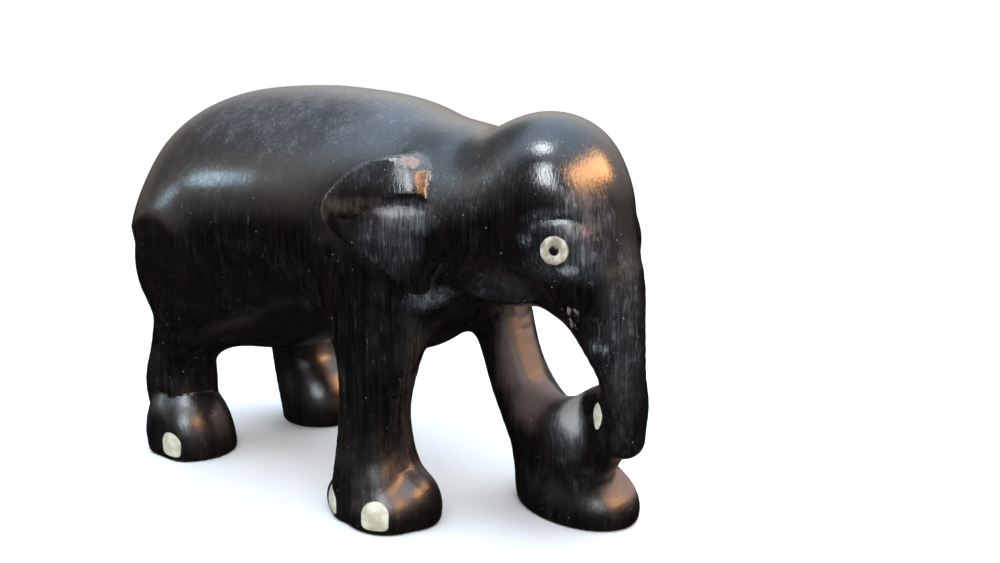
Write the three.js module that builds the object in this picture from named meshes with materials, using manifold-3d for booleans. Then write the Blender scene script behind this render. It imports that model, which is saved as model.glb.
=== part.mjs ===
// A small elephant carved from one block of near-black hardwood, with bone eyes and toenails let in.
// Millimetres. +X runs toward the head, +Y toward the elephant's left, +Z up; the soles stand at Z = 0.
import * as THREE from "three";
import Module from "manifold-3d";

// Overall size
const HEIGHT = 65; // floor to the top of the back

// Inlaid eyes
const EYE_DIAMETER = 4;
const EYE_THICKNESS = 1.6;
const EYE_PROUD = 0.15; // how far the flat disc stands out of the wood
const PUPIL_DIAMETER = 1.3;
const PUPIL_LENGTH = 1.1;
const PUPIL_PROUD = 0.1;

// Inlaid toenails and the upright oval on the web
const NAIL_WIDTH = 4.5;
const NAIL_HEIGHT = 4.4;
const NAIL_SQUARENESS = 5; // the lower half of a nail is squarer than an oval, whose number is 2
const NAIL_THICKNESS = 1.6;
const NAIL_LIFT = 3.05; // sole to the middle of a nail
const OVAL_WIDTH = 2.1;
const OVAL_HEIGHT = 4;
const OVAL_THICKNESS = 0.9;

const INLAY_GAP = 0.25; // glue line round each inlay
const INLAY_RISE = 0.7; // a cutter's reach above the wood at the middle of its inlay
const ROUND_SIDES = 20;
const OVAL = 2; // the power of an oval's outline

// Fineness of the faceted wood
const GRID_STEP = 0.82;
const WOOD_TRIANGLES = 8500;
const INLAY_TRIANGLES = 110;
const GRAIN = 0.002; // corners closer than this are one corner
const SLIVER = 0.01; // a triangle smaller than this may be folded away at any angle
const SLIMMEST = 0.12; // height over length that a folded triangle keeps
const TIP_LIMIT = 0.6; // cosine of the turn that a folded triangle may make
const EVENNESS = 0.0004; // a small cost for long edges keeps the facets well shaped
const REST = 0.001; // share by which a folded corner is drawn to the middle of its edge
const CLOSE = 0.002; // a ray this near the wood has met it
const FOOT_TRIM = 3; // carved below the floor, then sawn off flat

// Every size of the carving itself is given in parts of its height: PARTS_TALL parts make HEIGHT.
const PARTS_TALL = 65;
const PART = HEIGHT / PARTS_TALL;

const WOOD = { color: "#17110f", roughness: 0.32, metalness: 0 };
const BONE = { color: "#cfc7ae", roughness: 0.45, metalness: 0 };
const BLACK = { color: "#0b0908", roughness: 0.3, metalness: 0 };

// Implicit forms: each has a box [low, high] and a signed distance, negative inside

// An ellipsoid, turned about Z and then its nose tipped up about Y, in degrees
function egg(centre, radii, nose = 0, turn = 0) {
  const [cx, cy, cz] = centre.map((v) => v * PART);
  const [rx, ry, rz] = radii.map((v) => v * PART);
  const c = Math.cos(THREE.MathUtils.degToRad(nose));
  const s = Math.sin(THREE.MathUtils.degToRad(nose));
  const ct = Math.cos(THREE.MathUtils.degToRad(turn));
  const st = Math.sin(THREE.MathUtils.degToRad(turn));
  const reach = Math.max(rx, ry, rz);
  return {
    low: [cx - reach, cy - reach, cz - reach],
    high: [cx + reach, cy + reach, cz + reach],
    distance(x, y, z) {
      const along = (x - cx) * ct + (y - cy) * st;
      const py = (y - cy) * ct - (x - cx) * st;
      const px = along * c + (z - cz) * s;
      const pz = (z - cz) * c - along * s;
      const k0 = Math.hypot(px / rx, py / ry, pz / rz);
      const k1 = Math.hypot(px / rx ** 2, py / ry ** 2, pz / rz ** 2);
      return k1 > 1e-9 ? (k0 * (k0 - 1)) / k1 : -Math.min(rx, ry, rz);
    },
  };
}

// A smooth curve through stations of any number of values
function spline(stations, steps) {
  const mirror = (a, b) => a.map((v, i) => 2 * v - b[i]);
  const last = stations.length - 1;
  const p = [mirror(stations[0], stations[1]), ...stations, mirror(stations[last], stations[last - 1])];
  const out = [];
  for (let i = 1; i <= last; i += 1) {
    for (let k = 0; k < steps; k += 1) {
      const t = k / steps;
      out.push(
        p[i].map((b, n) => {
          const [a, c, d] = [p[i - 1][n], p[i + 1][n], p[i + 2][n]];
          const bend = (2 * a - 5 * b + 4 * c - d) * t * t + (3 * b - a - 3 * c + d) * t ** 3;
          return 0.5 * (2 * b + (c - a) * t + bend);
        }),
      );
    }
  }
  out.push(stations[last]);
  return out;
}

// A tapering limb through stations [x, y, z, radius], pared flat on the sides given by directions
const FLATNESS = 0.84; // middle of the limb to a pared side, as a share of its radius

function limb(stations, steps = 4, flats = []) {
  const path = spline(stations, steps).map((q) => q.map((v) => v * PART));
  const bone = path.slice(1).map((b, i) => {
    const a = path[i];
    const d = [b[0] - a[0], b[1] - a[1], b[2] - a[2]];
    return { a, d, grow: b[3] - a[3], square: d[0] ** 2 + d[1] ** 2 + d[2] ** 2 };
  });
  const reach = Math.max(...path.map((q) => q[3]));
  return {
    low: [0, 1, 2].map((n) => Math.min(...path.map((q) => q[n])) - reach),
    high: [0, 1, 2].map((n) => Math.max(...path.map((q) => q[n])) + reach),
    distance(x, y, z) {
      let best = Infinity;
      for (const { a, d, grow, square } of bone) {
        const [px, py, pz] = [x - a[0], y - a[1], z - a[2]];
        const t = Math.min(1, Math.max(0, (px * d[0] + py * d[1] + pz * d[2]) / square));
        const [ox, oy, oz] = [px - d[0] * t, py - d[1] * t, pz - d[2] * t];
        const radius = a[3] + grow * t;
        let skin = Math.hypot(ox, oy, oz) - radius;
        for (const [fx, fy, fz] of flats) {
          skin = softMax(skin, ox * fx + oy * fy + oz * fz - FLATNESS * radius, 0.5 * PART);
        }
        best = Math.min(best, skin);
      }
      return best;
    },
  };
}

// Signed distance to a closed outline in X and Z
function outline(points) {
  return (x, z) => {
    let best = Infinity;
    let inside = false;
    for (let i = 0, j = points.length - 1; i < points.length; j = i, i += 1) {
      const [ax, az] = points[i];
      const [bx, bz] = points[j];
      const [ex, ez, wx, wz] = [bx - ax, bz - az, x - ax, z - az];
      const t = Math.min(1, Math.max(0, (wx * ex + wz * ez) / (ex * ex + ez * ez)));
      best = Math.min(best, Math.hypot(wx - ex * t, wz - ez * t));
      if (az > z !== bz > z && x < ax + (ex * (z - az)) / ez) {
        inside = !inside;
      }
    }
    return inside ? -best : best;
  };
}

function softMin(a, b, k) {
  const h = k > 0 ? Math.max(k - Math.abs(a - b), 0) / k : 0;
  return Math.min(a, b) - (h * h * k) / 4;
}

function softMax(a, b, k) {
  return -softMin(-a, -b, k);
}

// The ear of one side: a plate proud of the neck, its face following a large egg and its lower flap
// cut back under a bevelled fold
const EAR_RIM = [
  [26, 54.6], [24.2, 56.2], [21.2, 56.8], [16.9, 54.9], [13.4, 51.2], [12.6, 48.2],
  [14.4, 45.8], [19, 42.4], [22.2, 39.2], [24.4, 36.2], [28.4, 40.8], [28.1, 47.3], [26, 54.6],
];
const FLAP = [
  [15.8, 48.3], [19, 49.7], [23, 50.7], [28.4, 51.4], [32, 44],
  [28, 33], [22, 35], [17.6, 42.6], [15.8, 48.3],
];
const FLAP_DEPTH = 1.3; // how far the flap is cut back at the fold
const FLAP_LEAST = 0.2; // the share of that depth left at the tip
const [FLAP_FOOT, FLAP_TALL] = [33, 15]; // the depth grows from this height over this height
const FOLD_BEVEL = 1.3; // height of the bevel over its depth
const EAR_REACH = 24; // sideways limit of an ear's box
const EAR_MARGIN = 4; // from the rim's stations to the edges of that box

function ear(side) {
  const loop = (points) => outline(spline(points, 3).slice(0, -1).map((q) => q.map((v) => v * PART)));
  const edge = loop(EAR_RIM);
  const flap = loop(FLAP);
  const face = egg([9, 0, 47], [26, 21.5, 22]);
  const back = egg([9, 0, 47], [22, 12, 20]);
  const [xs, zs] = [EAR_RIM.map((q) => q[0]), EAR_RIM.map((q) => q[1])];
  const [inner, outer] = side > 0 ? [0, EAR_REACH] : [-EAR_REACH, 0];
  return {
    low: [Math.min(...xs) - EAR_MARGIN, inner, Math.min(...zs) - EAR_MARGIN].map((v) => v * PART),
    high: [Math.max(...xs) + EAR_MARGIN, outer, Math.max(...zs) + EAR_MARGIN].map((v) => v * PART),
    distance(x, y, z) {
      const over = face.distance(x, y, z);
      const plate = softMax(edge(x, z), over, 0.9 * PART);
      const shell = softMax(plate, -back.distance(x, y, z), PART);
      const share = THREE.MathUtils.clamp((z / PART - FLAP_FOOT) / FLAP_TALL, FLAP_LEAST, 1);
      const wall = (flap(x, z) - FOLD_BEVEL * Math.min(over, 0)) / Math.hypot(1, FOLD_BEVEL);
      const sunk = softMax(wall, -(over + FLAP_DEPTH * share * PART), 0.3 * PART);
      return Math.max(softMax(shell, -sunk, 0.2 * PART), -side * y);
    },
  };
}

// The carving: steps in their order, each blended over a width
const carving = [];
const add = (form, blend) => carving.push({ form, blend: blend * PART, keep: true });
const cut = (form, blend) => carving.push({ form, blend: blend * PART, keep: false });

function shape(x, y, z) {
  let d = 50 * PART;
  for (const { form, blend, keep } of carving) {
    const f = form.distance(x, y, z);
    d = keep ? softMin(d, f, blend) : softMax(d, -f, blend);
  }
  return d;
}

// The point where a ray that starts in the open first meets the wood
function meet(start, direction) {
  const p = new THREE.Vector3(...start);
  const d = new THREE.Vector3(...direction).normalize();
  for (let i = 0; i < 400; i += 1) {
    const away = shape(p.x, p.y, p.z);
    if (away < CLOSE) {
      break;
    }
    p.addScaledVector(d, Math.min(away * 0.6 + 0.001, 1));
  }
  return p;
}

function slope(p) {
  const e = 0.05;
  const along = (dx, dy, dz) => shape(p.x + dx, p.y + dy, p.z + dz) - shape(p.x - dx, p.y - dy, p.z - dz);
  return new THREE.Vector3(along(e, 0, 0), along(0, e, 0), along(0, 0, e)).normalize();
}

// Trunk of the body
add(egg([-25.2, 0, 40.4], [24.7, 20.8, 22.4]), 0);
add(egg([-7, 0, 44.1], [30, 20.5, 21]), 7);
add(egg([10, 0, 45], [19, 16.8, 17.3]), 7);
add(egg([11.5, 0, 35.6], [10.6, 12, 11.6]), 4);
add(egg([25, 0, 48], [12, 13.6, 12]), 6);
add(egg([29.5, 0, 46.5], [9, 14, 9.5]), 4);

// Head, forehead and trunk
add(egg([37, 0, 47], [12.7, 11.3, 11.3], 8), 5);
add(egg([33.5, 0, 41.2], [11, 10.4, 6.6]), 2.5);
add(egg([38.4, 0, 53], [10.7, 11, 9.9]), 4);
add(
  limb([
    [43, 0, 48, 7.4], [46.6, 0, 40, 6.9], [49.2, 0, 33.5, 5.1],
    [51.5, 0, 27, 3.4], [53.2, 0.1, 21, 2.05], [52.4, 0.6, 17.2, 2.25],
  ]),
  4,
);
add(egg([43.5, 0, 36.6], [4.2, 4.6, 2.2], -14), 2.5);

// Legs: hind pair, near fore leg, and the far fore leg that steps forward onto a long foot
const HIND_NEAR = [
  [-30, -8.5, 36, 14], [-31.6, -11.5, 26, 8], [-34.2, -13, 18.5, 5.9], [-35.4, -13.2, 12.5, 6.3],
  [-34.4, -13.5, 8, 6.2], [-32.7, -14, 3.8, 7.6], [-31.7, -13.7, 0, 7.4], [-31.5, -13.6, -3, 6.2],
];
const HIND_FAR = [
  [-30, 8.5, 36, 14], [-30.5, 11.5, 26, 8], [-33.4, 13, 18.5, 6.2],
  [-32, 13.3, 10, 6.4], [-28.8, 14, 3.5, 7.9], [-28.5, 14, 0, 7.6], [-28.5, 14, -3, 6.4],
];
const FORE_NEAR = [
  [12.5, -9, 37, 10], [15, -12, 27, 6.8], [14.9, -13, 18, 5.5],
  [14.8, -13, 10, 6.2], [15.4, -13, 4.4, 7.3], [15.6, -12.9, 0, 7], [15.6, -12.9, -3, 6],
];
const FORE_FAR = [[16, 9, 37, 8.4], [20, 11, 28, 5.2], [24.5, 11, 18, 5.2], [30, 11, 10, 6.2]];
const FORE_FAR_FOOT = [36.6, 9.8, 1.8];
const FRONT = [0.87, 0, 0.49]; // square to the sloping far fore leg
add(limb(HIND_NEAR, 4, [[0, -1, 0]]), 5);
add(limb(HIND_FAR, 4, [[0, 1, 0]]), 5);
add(limb(FORE_NEAR, 4, [[1, 0, 0], [0, -1, 0]]), 4);
add(egg([11.4, -12.8, 1.8], [6.4, 5, 4.8]), 2);
add(egg([19.8, -11.6, 2.4], [5.8, 5.4, 6.4]), 1.2);
add(egg([18, -14.9, 1.9], [6.2, 5.1, 5.5]), 0.8);
add(limb(FORE_FAR, 4, [FRONT, [0, -1, 0]]), 3);
add(egg(FORE_FAR_FOOT, [12, 8, 7], 0, -14), 5);

// The web left standing between the far fore leg and the tip of the trunk
add(limb([[33, 9, 13, 5], [40, 6, 16.2, 3.6], [45.8, 3.2, 20, 3.2], [50, 2.2, 22, 3.1]]), 4);
add(limb([[38, 8, 8, 4], [44, 4.5, 11.5, 3.4], [49.5, 1.6, 16.5, 2.4]]), 4);

// Tail, in low relief down the rump
const TAIL = [
  [-46.4, 0, 52, 1.2], [-49.1, 0, 44, 1.6], [-49.2, 0, 36, 1.5], [-46.2, 0, 29.5, 1.4], [-43, 0, 25, 2],
];
add(limb(TAIL), 1.2);

// Stations laid on the flank of one side, from places [x, z, radius] and a depth
function onFlank(places, side, sink) {
  return places.map(([x, z, radius]) => {
    const p = meet([x * PART, side * 30 * PART, z * PART], [0, -side, 0]);
    return [x, p.y / PART - side * sink, z, radius];
  });
}

// Ears, and the crease below them
const NECK_CREASE = [[23.6, 35.6, 0.7], [28.8, 41, 0.9]];
const CREASE_RISE = 0.5; // the groove's middle line lies this far outside the wood
for (const side of [-1, 1]) {
  add(ear(side), 0.5);
}
for (const side of [-1, 1]) {
  cut(limb(onFlank(NECK_CREASE, side, -CREASE_RISE), 1), 0.2);
}

// Cheeks pared with one long stroke, and mouth corners: the sunk place of the lost tusk beside a
// broken rim
for (const side of [-1, 1]) {
  cut(egg([40.3, side * 22.1, 28.9], [18, 18, 18]), 0.3);
  add(egg([46.6, side * 4.9, 35.7], [2.8, 1.2, 1.2], -22), 0.6);
  cut(egg([50.4, side * 6.1, 33.5], [2.7, 2, 3.2], -20), 0.3);
  cut(egg([46.8, side * 6.7, 34.1], [2.3, 1.4, 1.5], -30), 0.25);
}

// Eyes: a low oval swelling with a lid line over it
const EYE_PLACE = [46.3, 45.1];
const SOCKET = { x: 46.1, z: 44.9, wide: 5, deep: 2.5, high: 4.9, sunk: 2.1 };
const LID = [[42.4, 47.1, 0.05], [44, 48.7, 0.4], [46.6, 49.4, 0.4], [48.6, 49, 0.05]];
for (const side of [-1, 1]) {
  const middle = meet([SOCKET.x * PART, side * 30 * PART, SOCKET.z * PART], [0, -side, 0]);
  const out = slope(middle);
  const turn = THREE.MathUtils.radToDeg(Math.atan2(-out.x, out.y * side)) * side;
  const centre = [SOCKET.x, middle.y / PART - side * SOCKET.sunk, SOCKET.z];
  const lid = onFlank(LID, side, 0);
  add(egg(centre, [SOCKET.wide, SOCKET.deep, SOCKET.high], 0, turn), 0.5);
  cut(limb(lid, 3), 0.6);
}

// Polygons: one vertex in each grid cell that the surface crosses
function polygonise(step) {
  const forms = carving.filter(({ keep }) => keep).map(({ form }) => form);
  const low = [0, 1, 2].map((n) => Math.min(...forms.map((form) => form.low[n])) - 2 * step);
  const high = [0, 1, 2].map((n) => Math.max(...forms.map((form) => form.high[n])) + 2 * step);
  low[2] = -FOOT_TRIM * PART - 2 * step;
  const size = low.map((v, n) => Math.ceil((high[n] - v) / step) + 1);
  const [nx, ny, nz] = size;
  const index = (i, j, k) => (i * ny + j) * nz + k;
  const value = new Float64Array(nx * ny * nz).fill(50 * PART);
  for (const { form, blend, keep } of carving) {
    const margin = blend + 2 * step;
    const from = form.low.map((v, n) => Math.max(0, Math.floor((v - margin - low[n]) / step)));
    const to = form.high.map((v, n) => Math.min(size[n] - 1, Math.ceil((v + margin - low[n]) / step)));
    for (let i = from[0]; i <= to[0]; i += 1) {
      for (let j = from[1]; j <= to[1]; j += 1) {
        for (let k = from[2]; k <= to[2]; k += 1) {
          const f = form.distance(low[0] + i * step, low[1] + j * step, low[2] + k * step);
          const at = index(i, j, k);
          value[at] = keep ? softMin(value[at], f, blend) : softMax(value[at], -f, blend);
        }
      }
    }
  }
  for (let k = 0; k < nz; k += 1) {
    const under = -FOOT_TRIM * PART - (low[2] + k * step);
    for (let i = 0; i < nx; i += 1) {
      for (let j = 0; j < ny; j += 1) {
        const at = index(i, j, k);
        value[at] = Math.max(value[at], under);
      }
    }
  }

  const corner = [];
  for (let n = 0; n < 8; n += 1) {
    corner.push([n >> 2, (n >> 1) & 1, n & 1]);
  }
  const points = [];
  const owner = new Int32Array(nx * ny * nz).fill(-1);
  for (let i = 0; i < nx - 1; i += 1) {
    for (let j = 0; j < ny - 1; j += 1) {
      for (let k = 0; k < nz - 1; k += 1) {
        const v = corner.map(([a, b, c]) => value[index(i + a, j + b, k + c)]);
        const inside = v.filter((d) => d < 0).length;
        if (inside === 0 || inside === 8) {
          continue;
        }
        const sum = [0, 0, 0];
        let crossings = 0;
        for (let a = 0; a < 8; a += 1) {
          for (const bit of [1, 2, 4]) {
            const b = a | bit;
            if (b === a || v[a] < 0 === v[b] < 0) {
              continue;
            }
            const t = v[a] / (v[a] - v[b]);
            for (let n = 0; n < 3; n += 1) {
              sum[n] += corner[a][n] + t * (corner[b][n] - corner[a][n]);
            }
            crossings += 1;
          }
        }
        owner[index(i, j, k)] = points.length;
        points.push([i, j, k].map((g, n) => low[n] + (g + sum[n] / crossings) * step));
      }
    }
  }

  const triangles = [];
  const unit = [[1, 0, 0], [0, 1, 0], [0, 0, 1]];
  for (let i = 1; i < nx - 1; i += 1) {
    for (let j = 1; j < ny - 1; j += 1) {
      for (let k = 1; k < nz - 1; k += 1) {
        for (let n = 0; n < 3; n += 1) {
          const [a, b, c] = unit[n];
          const here = value[index(i, j, k)] < 0;
          const there = value[index(i + a, j + b, k + c)] < 0;
          if (here === there) {
            continue;
          }
          const u = unit[(n + 1) % 3];
          const w = unit[(n + 2) % 3];
          const cell = (p, q) => {
            const [di, dj, dk] = u.map((v, m) => v * p + w[m] * q);
            return owner[index(i - di, j - dj, k - dk)];
          };
          const quad = [cell(1, 1), cell(0, 1), cell(0, 0), cell(1, 0)];
          if (!here) {
            quad.reverse();
          }
          triangles.push([quad[0], quad[1], quad[2]], [quad[0], quad[2], quad[3]]);
        }
      }
    }
  }
  return { points, triangles };
}

// Fewer triangles: edges are folded together, cheapest first, where the form changes least
function thin({ points, triangles }, target) {
  const faces = triangles.map((t) => [...t]);
  const around = points.map(() => new Set());
  faces.forEach((f, id) => f.forEach((v) => around[v].add(id)));
  const cross = (a, b, c) => {
    const [ux, uy, uz] = [b[0] - a[0], b[1] - a[1], b[2] - a[2]];
    const [vx, vy, vz] = [c[0] - a[0], c[1] - a[1], c[2] - a[2]];
    return [uy * vz - uz * vy, uz * vx - ux * vz, ux * vy - uy * vx];
  };
  const quadric = points.map(() => new Float64Array(10));
  for (const f of faces) {
    const n = cross(points[f[0]], points[f[1]], points[f[2]]);
    const area = Math.hypot(...n) || 1e-12;
    const [a, b, c] = n.map((v) => v / area);
    const d = -(a * points[f[0]][0] + b * points[f[0]][1] + c * points[f[0]][2]);
    const plane = [a * a, a * b, a * c, a * d, b * b, b * c, b * d, c * c, c * d, d * d];
    f.forEach((v) => plane.forEach((q, n2) => (quadric[v][n2] += q * area)));
  }
  const error = (q, [x, y, z]) =>
    q[0] * x * x + 2 * q[1] * x * y + 2 * q[2] * x * z + 2 * q[3] * x + q[4] * y * y +
    2 * q[5] * y * z + 2 * q[6] * y + q[7] * z * z + 2 * q[8] * z + q[9];
  const best = (a, b) => {
    const q = quadric[a].map((v, n) => v + quadric[b][n]);
    const middle = points[a].map((v, n) => (v + points[b][n]) / 2);
    const soft = REST * (q[0] + q[4] + q[7]);
    const m = new THREE.Matrix3();
    m.set(q[0] + soft, q[1], q[2], q[1], q[4] + soft, q[5], q[2], q[5], q[7] + soft);
    const right = new THREE.Vector3(...[q[3], q[6], q[8]].map((v, n) => soft * middle[n] - v));
    const place = right.applyMatrix3(m.invert()).toArray();
    const length = Math.hypot(...points[a].map((v, n) => v - points[b][n]));
    const far = Math.hypot(...place.map((v, n) => v - middle[n])) > length;
    const at = far || !place.every(Number.isFinite) ? middle : place;
    if (Math.min(points[a][2], points[b][2]) < GRAIN) {
      at[2] = 0; // the soles stay flat
    }
    return { at, cost: Math.max(0, error(q, at)) + EVENNESS * length ** 4 };
  };

  // A heap of edges; an entry is stale when either end has changed since
  const stamp = new Int32Array(points.length);
  const heap = [];
  const rise = (n) => {
    while (n > 0) {
      const up = (n - 1) >> 1;
      if (heap[up].cost <= heap[n].cost) {
        return;
      }
      [heap[up], heap[n]] = [heap[n], heap[up]];
      n = up;
    }
  };
  const pop = () => {
    const top = heap[0];
    const end = heap.pop();
    if (heap.length) {
      heap[0] = end;
      let n = 0;
      for (;;) {
        let low = n;
        for (const child of [2 * n + 1, 2 * n + 2]) {
          if (child < heap.length && heap[child].cost < heap[low].cost) {
            low = child;
          }
        }
        if (low === n) {
          break;
        }
        [heap[low], heap[n]] = [heap[n], heap[low]];
        n = low;
      }
    }
    return top;
  };
  const push = (a, b) => {
    heap.push({ a, b, mark: stamp[a] + stamp[b], ...best(a, b) });
    rise(heap.length - 1);
  };
  const neighbours = (v) => new Set([...around[v]].flatMap((id) => faces[id]).filter((w) => w !== v));
  points.forEach((_, v) => neighbours(v).forEach((w) => v < w && push(v, w)));

  let alive = faces.length;
  const gone = new Uint8Array(points.length);
  while (alive > target && heap.length) {
    const { a, b, mark, at } = pop();
    if (gone[a] || gone[b] || mark !== stamp[a] + stamp[b]) {
      continue;
    }
    const ring = neighbours(b);
    const shared = [...neighbours(a)].filter((v) => ring.has(v));
    if (shared.length !== 2) {
      continue;
    }
    const folded = (id) => faces[id].includes(a) && faces[id].includes(b);
    const moved = [...around[a], ...around[b]].filter((id) => !folded(id));
    const turns = moved.some((id) => {
      const corners = faces[id].map((v) => points[v]);
      const next = faces[id].map((v) => (v === a || v === b ? at : points[v]));
      const [n0, n1] = [cross(...corners), cross(...next)];
      const [l0, l1] = [Math.hypot(...n0), Math.hypot(...n1)];
      const side = (p, q) => Math.hypot(...p.map((v, m) => v - q[m]));
      const longest = (t) => Math.max(...t.map((p, n) => side(p, t[(n + 1) % 3])));
      const [f0, f1] = [l0 / longest(corners) ** 2, l1 / longest(next) ** 2];
      const slim = f1 < SLIMMEST && f1 < f0;
      const tipped = n0[0] * n1[0] + n0[1] * n1[1] + n0[2] * n1[2] < TIP_LIMIT * l0 * l1;
      return slim || (tipped && l0 > SLIVER);
    });
    if (turns) {
      continue;
    }
    for (const id of [...around[b]]) {
      if (faces[id].includes(a)) {
        faces[id].forEach((v) => around[v].delete(id));
        faces[id] = null;
        alive -= 1;
      } else {
        faces[id] = faces[id].map((v) => (v === b ? a : v));
        around[a].add(id);
      }
    }
    around[b].clear();
    gone[b] = 1;
    points[a] = at;
    quadric[b].forEach((v, n) => (quadric[a][n] += v));
    stamp[a] += 1;
    neighbours(a).forEach((w) => push(a, w));
  }
  return { points, triangles: faces.filter(Boolean) };
}

// Corners rounded to the grain and numbered afresh, without the triangles that vanish
function settle({ points, triangles }) {
  const number = new Map();
  const places = [];
  const renumber = (v) => {
    const place = points[v].map((q) => Math.round(q / GRAIN) * GRAIN);
    const key = place.map((q) => Math.round(q / GRAIN)).join();
    if (!number.has(key)) {
      number.set(key, number.size);
      places.push(...place);
    }
    return number.get(key);
  };
  const kept = triangles.map((t) => t.map(renumber)).filter(([a, b, c]) => a !== b && b !== c && c !== a);
  return { places, triVerts: kept.flat() };
}

// Solids for joining and cutting
const wasm = await Module();
wasm.setup();

function solid(places, triVerts) {
  const mesh = new wasm.Mesh({
    numProp: 3,
    vertProperties: new Float32Array(places),
    triVerts: new Uint32Array(triVerts),
  });
  mesh.merge();
  return new wasm.Manifold(mesh);
}

function solidOf(geometry) {
  const position = geometry.getAttribute("position");
  const index = geometry.getIndex();
  const order = index ? [...index.array] : [...Array(position.count).keys()];
  return solid(position.array, order);
}

// A body's faces, thinned to a number of triangles
function geometryOf(body, triangleCount) {
  const { vertProperties, triVerts } = body.getMesh();
  const points = [];
  for (let n = 0; n < vertProperties.length; n += 3) {
    points.push([...vertProperties.subarray(n, n + 3)]);
  }
  const triangles = [];
  for (let n = 0; n < triVerts.length; n += 3) {
    triangles.push([...triVerts.subarray(n, n + 3)]);
  }
  const thinned = settle(thin({ points, triangles }, triangleCount));
  const geometry = new THREE.BufferGeometry();
  geometry.setAttribute("position", new THREE.Float32BufferAttribute(thinned.places, 3));
  geometry.setIndex(thinned.triVerts);
  return geometry;
}

// A plug standing along Z from 0 down to its depth: an oval, whose lower half may be squarer
function plug(width, height, depth, rise = 0, squareness = OVAL) {
  const face = new THREE.Shape();
  for (let n = 0; n < ROUND_SIDES; n += 1) {
    const angle = (n * 2 * Math.PI) / ROUND_SIDES;
    const [c, s] = [Math.cos(angle), Math.sin(angle)];
    const power = s < 0 ? squareness : OVAL;
    const reach = (Math.abs((2 * c) / width) ** power + Math.abs((2 * s) / height) ** power) ** (-1 / power);
    face[n ? "lineTo" : "moveTo"](reach * c, reach * s);
  }
  const geometry = new THREE.ExtrudeGeometry(face, { depth: depth + rise, bevelEnabled: false });
  geometry.translate(0, 0, -depth);
  return geometry;
}

// Sets a plug on the wood at a point, its axis along the outward direction and its height upright
function seat(geometry, point, outward) {
  const z = outward.clone().normalize();
  const x = new THREE.Vector3(0, 0, 1).cross(z).normalize();
  const y = z.clone().cross(x);
  geometry.applyMatrix4(new THREE.Matrix4().makeBasis(x, y, z).setPosition(point));
  return geometry;
}

const carved = polygonise(GRID_STEP * PART);
const block = solid(carved.points.flat(), carved.triangles.flat()).trimByPlane([0, 0, 1], 0);

let wood = block;
const inlays = [];
const inlay = (name, body, look) => inlays.push({ name, body, look });

// Eyes: a flat disc with a black peg in a hole in its middle
for (const [name, side] of [["right", -1], ["left", 1]]) {
  const place = meet([EYE_PLACE[0] * PART, side * 30 * PART, EYE_PLACE[1] * PART], [0, -side, 0]);
  const out = slope(place);
  const disc = seat(plug(EYE_DIAMETER, EYE_DIAMETER, EYE_THICKNESS - EYE_PROUD, EYE_PROUD), place, out);
  const wide = EYE_DIAMETER + 2 * INLAY_GAP;
  const pocket = seat(plug(wide, wide, EYE_THICKNESS - EYE_PROUD + INLAY_GAP, EYE_DIAMETER), place, out);
  const face = place.clone().addScaledVector(out, EYE_PROUD);
  const peg = seat(plug(PUPIL_DIAMETER, PUPIL_DIAMETER, PUPIL_LENGTH - PUPIL_PROUD, PUPIL_PROUD), face, out);
  const bore = PUPIL_DIAMETER + 2 * INLAY_GAP;
  const hole = seat(plug(bore, bore, PUPIL_LENGTH - PUPIL_PROUD + INLAY_GAP, EYE_DIAMETER), face, out);
  inlay(`eye_${name}`, solidOf(disc).subtract(solidOf(hole)), BONE);
  inlay(`pupil_${name}`, solidOf(peg), BLACK);
  wood = wood.subtract(solidOf(pocket));
}

// Toenails: flush with the foot, each at a bearing in degrees from straight ahead toward its own side
const NAILS = [
  { name: "fore_right_a", foot: FORE_NEAR[4], side: -1, bearing: 50 },
  { name: "fore_right_b", foot: FORE_NEAR[4], side: -1, bearing: 135 },
  { name: "hind_right", foot: HIND_NEAR[5], side: -1, bearing: 64 },
  { name: "fore_left_a", foot: FORE_FAR_FOOT, side: 1, bearing: 72 },
  { name: "fore_left_b", foot: FORE_FAR_FOOT, side: 1, bearing: 115 },
  { name: "hind_left", foot: HIND_FAR[4], side: 1, bearing: 60 },
];
function letIn(name, place, out, width, height, thickness, squareness = OVAL) {
  const body = solidOf(seat(plug(width, height, thickness, INLAY_RISE, squareness), place, out));
  const [wide, tall] = [width + 2 * INLAY_GAP, height + 2 * INLAY_GAP];
  const pocket = seat(plug(wide, tall, thickness + INLAY_GAP, INLAY_RISE, squareness), place, out);
  inlay(name, body.intersect(block), BONE);
  wood = wood.subtract(solidOf(pocket));
}
for (const { name, foot, side, bearing } of NAILS) {
  const turn = THREE.MathUtils.degToRad(bearing);
  const way = [Math.cos(turn), side * Math.sin(turn), 0];
  const start = [foot[0] * PART + 20 * PART * way[0], foot[1] * PART + 20 * PART * way[1], NAIL_LIFT];
  const place = meet(start, way.map((v) => -v));
  const out = slope(place);
  out.z = 0;
  letIn(`nail_${name}`, place, out.normalize(), NAIL_WIDTH, NAIL_HEIGHT, NAIL_THICKNESS, NAIL_SQUARENESS);
}

// The upright oval on the near face of the web, close behind the trunk
const OVAL_PLACE = [47.4, 0, 19.8];
const OVAL_FACES = [0.57, -0.78, 0.25];
const ovalAt = meet(OVAL_PLACE.map((v, n) => (v + 20 * OVAL_FACES[n]) * PART), OVAL_FACES.map((v) => -v));
const ovalOut = slope(ovalAt);
letIn("oval_web", ovalAt, ovalOut, OVAL_WIDTH, OVAL_HEIGHT, OVAL_THICKNESS);

// The finished piece, stood on its soles with the middle of its footprint box at the origin
function piece(name, body, look, triangleCount) {
  const mesh = new THREE.Mesh(geometryOf(body, triangleCount), new THREE.MeshStandardMaterial(look));
  mesh.name = name;
  return mesh;
}

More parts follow.
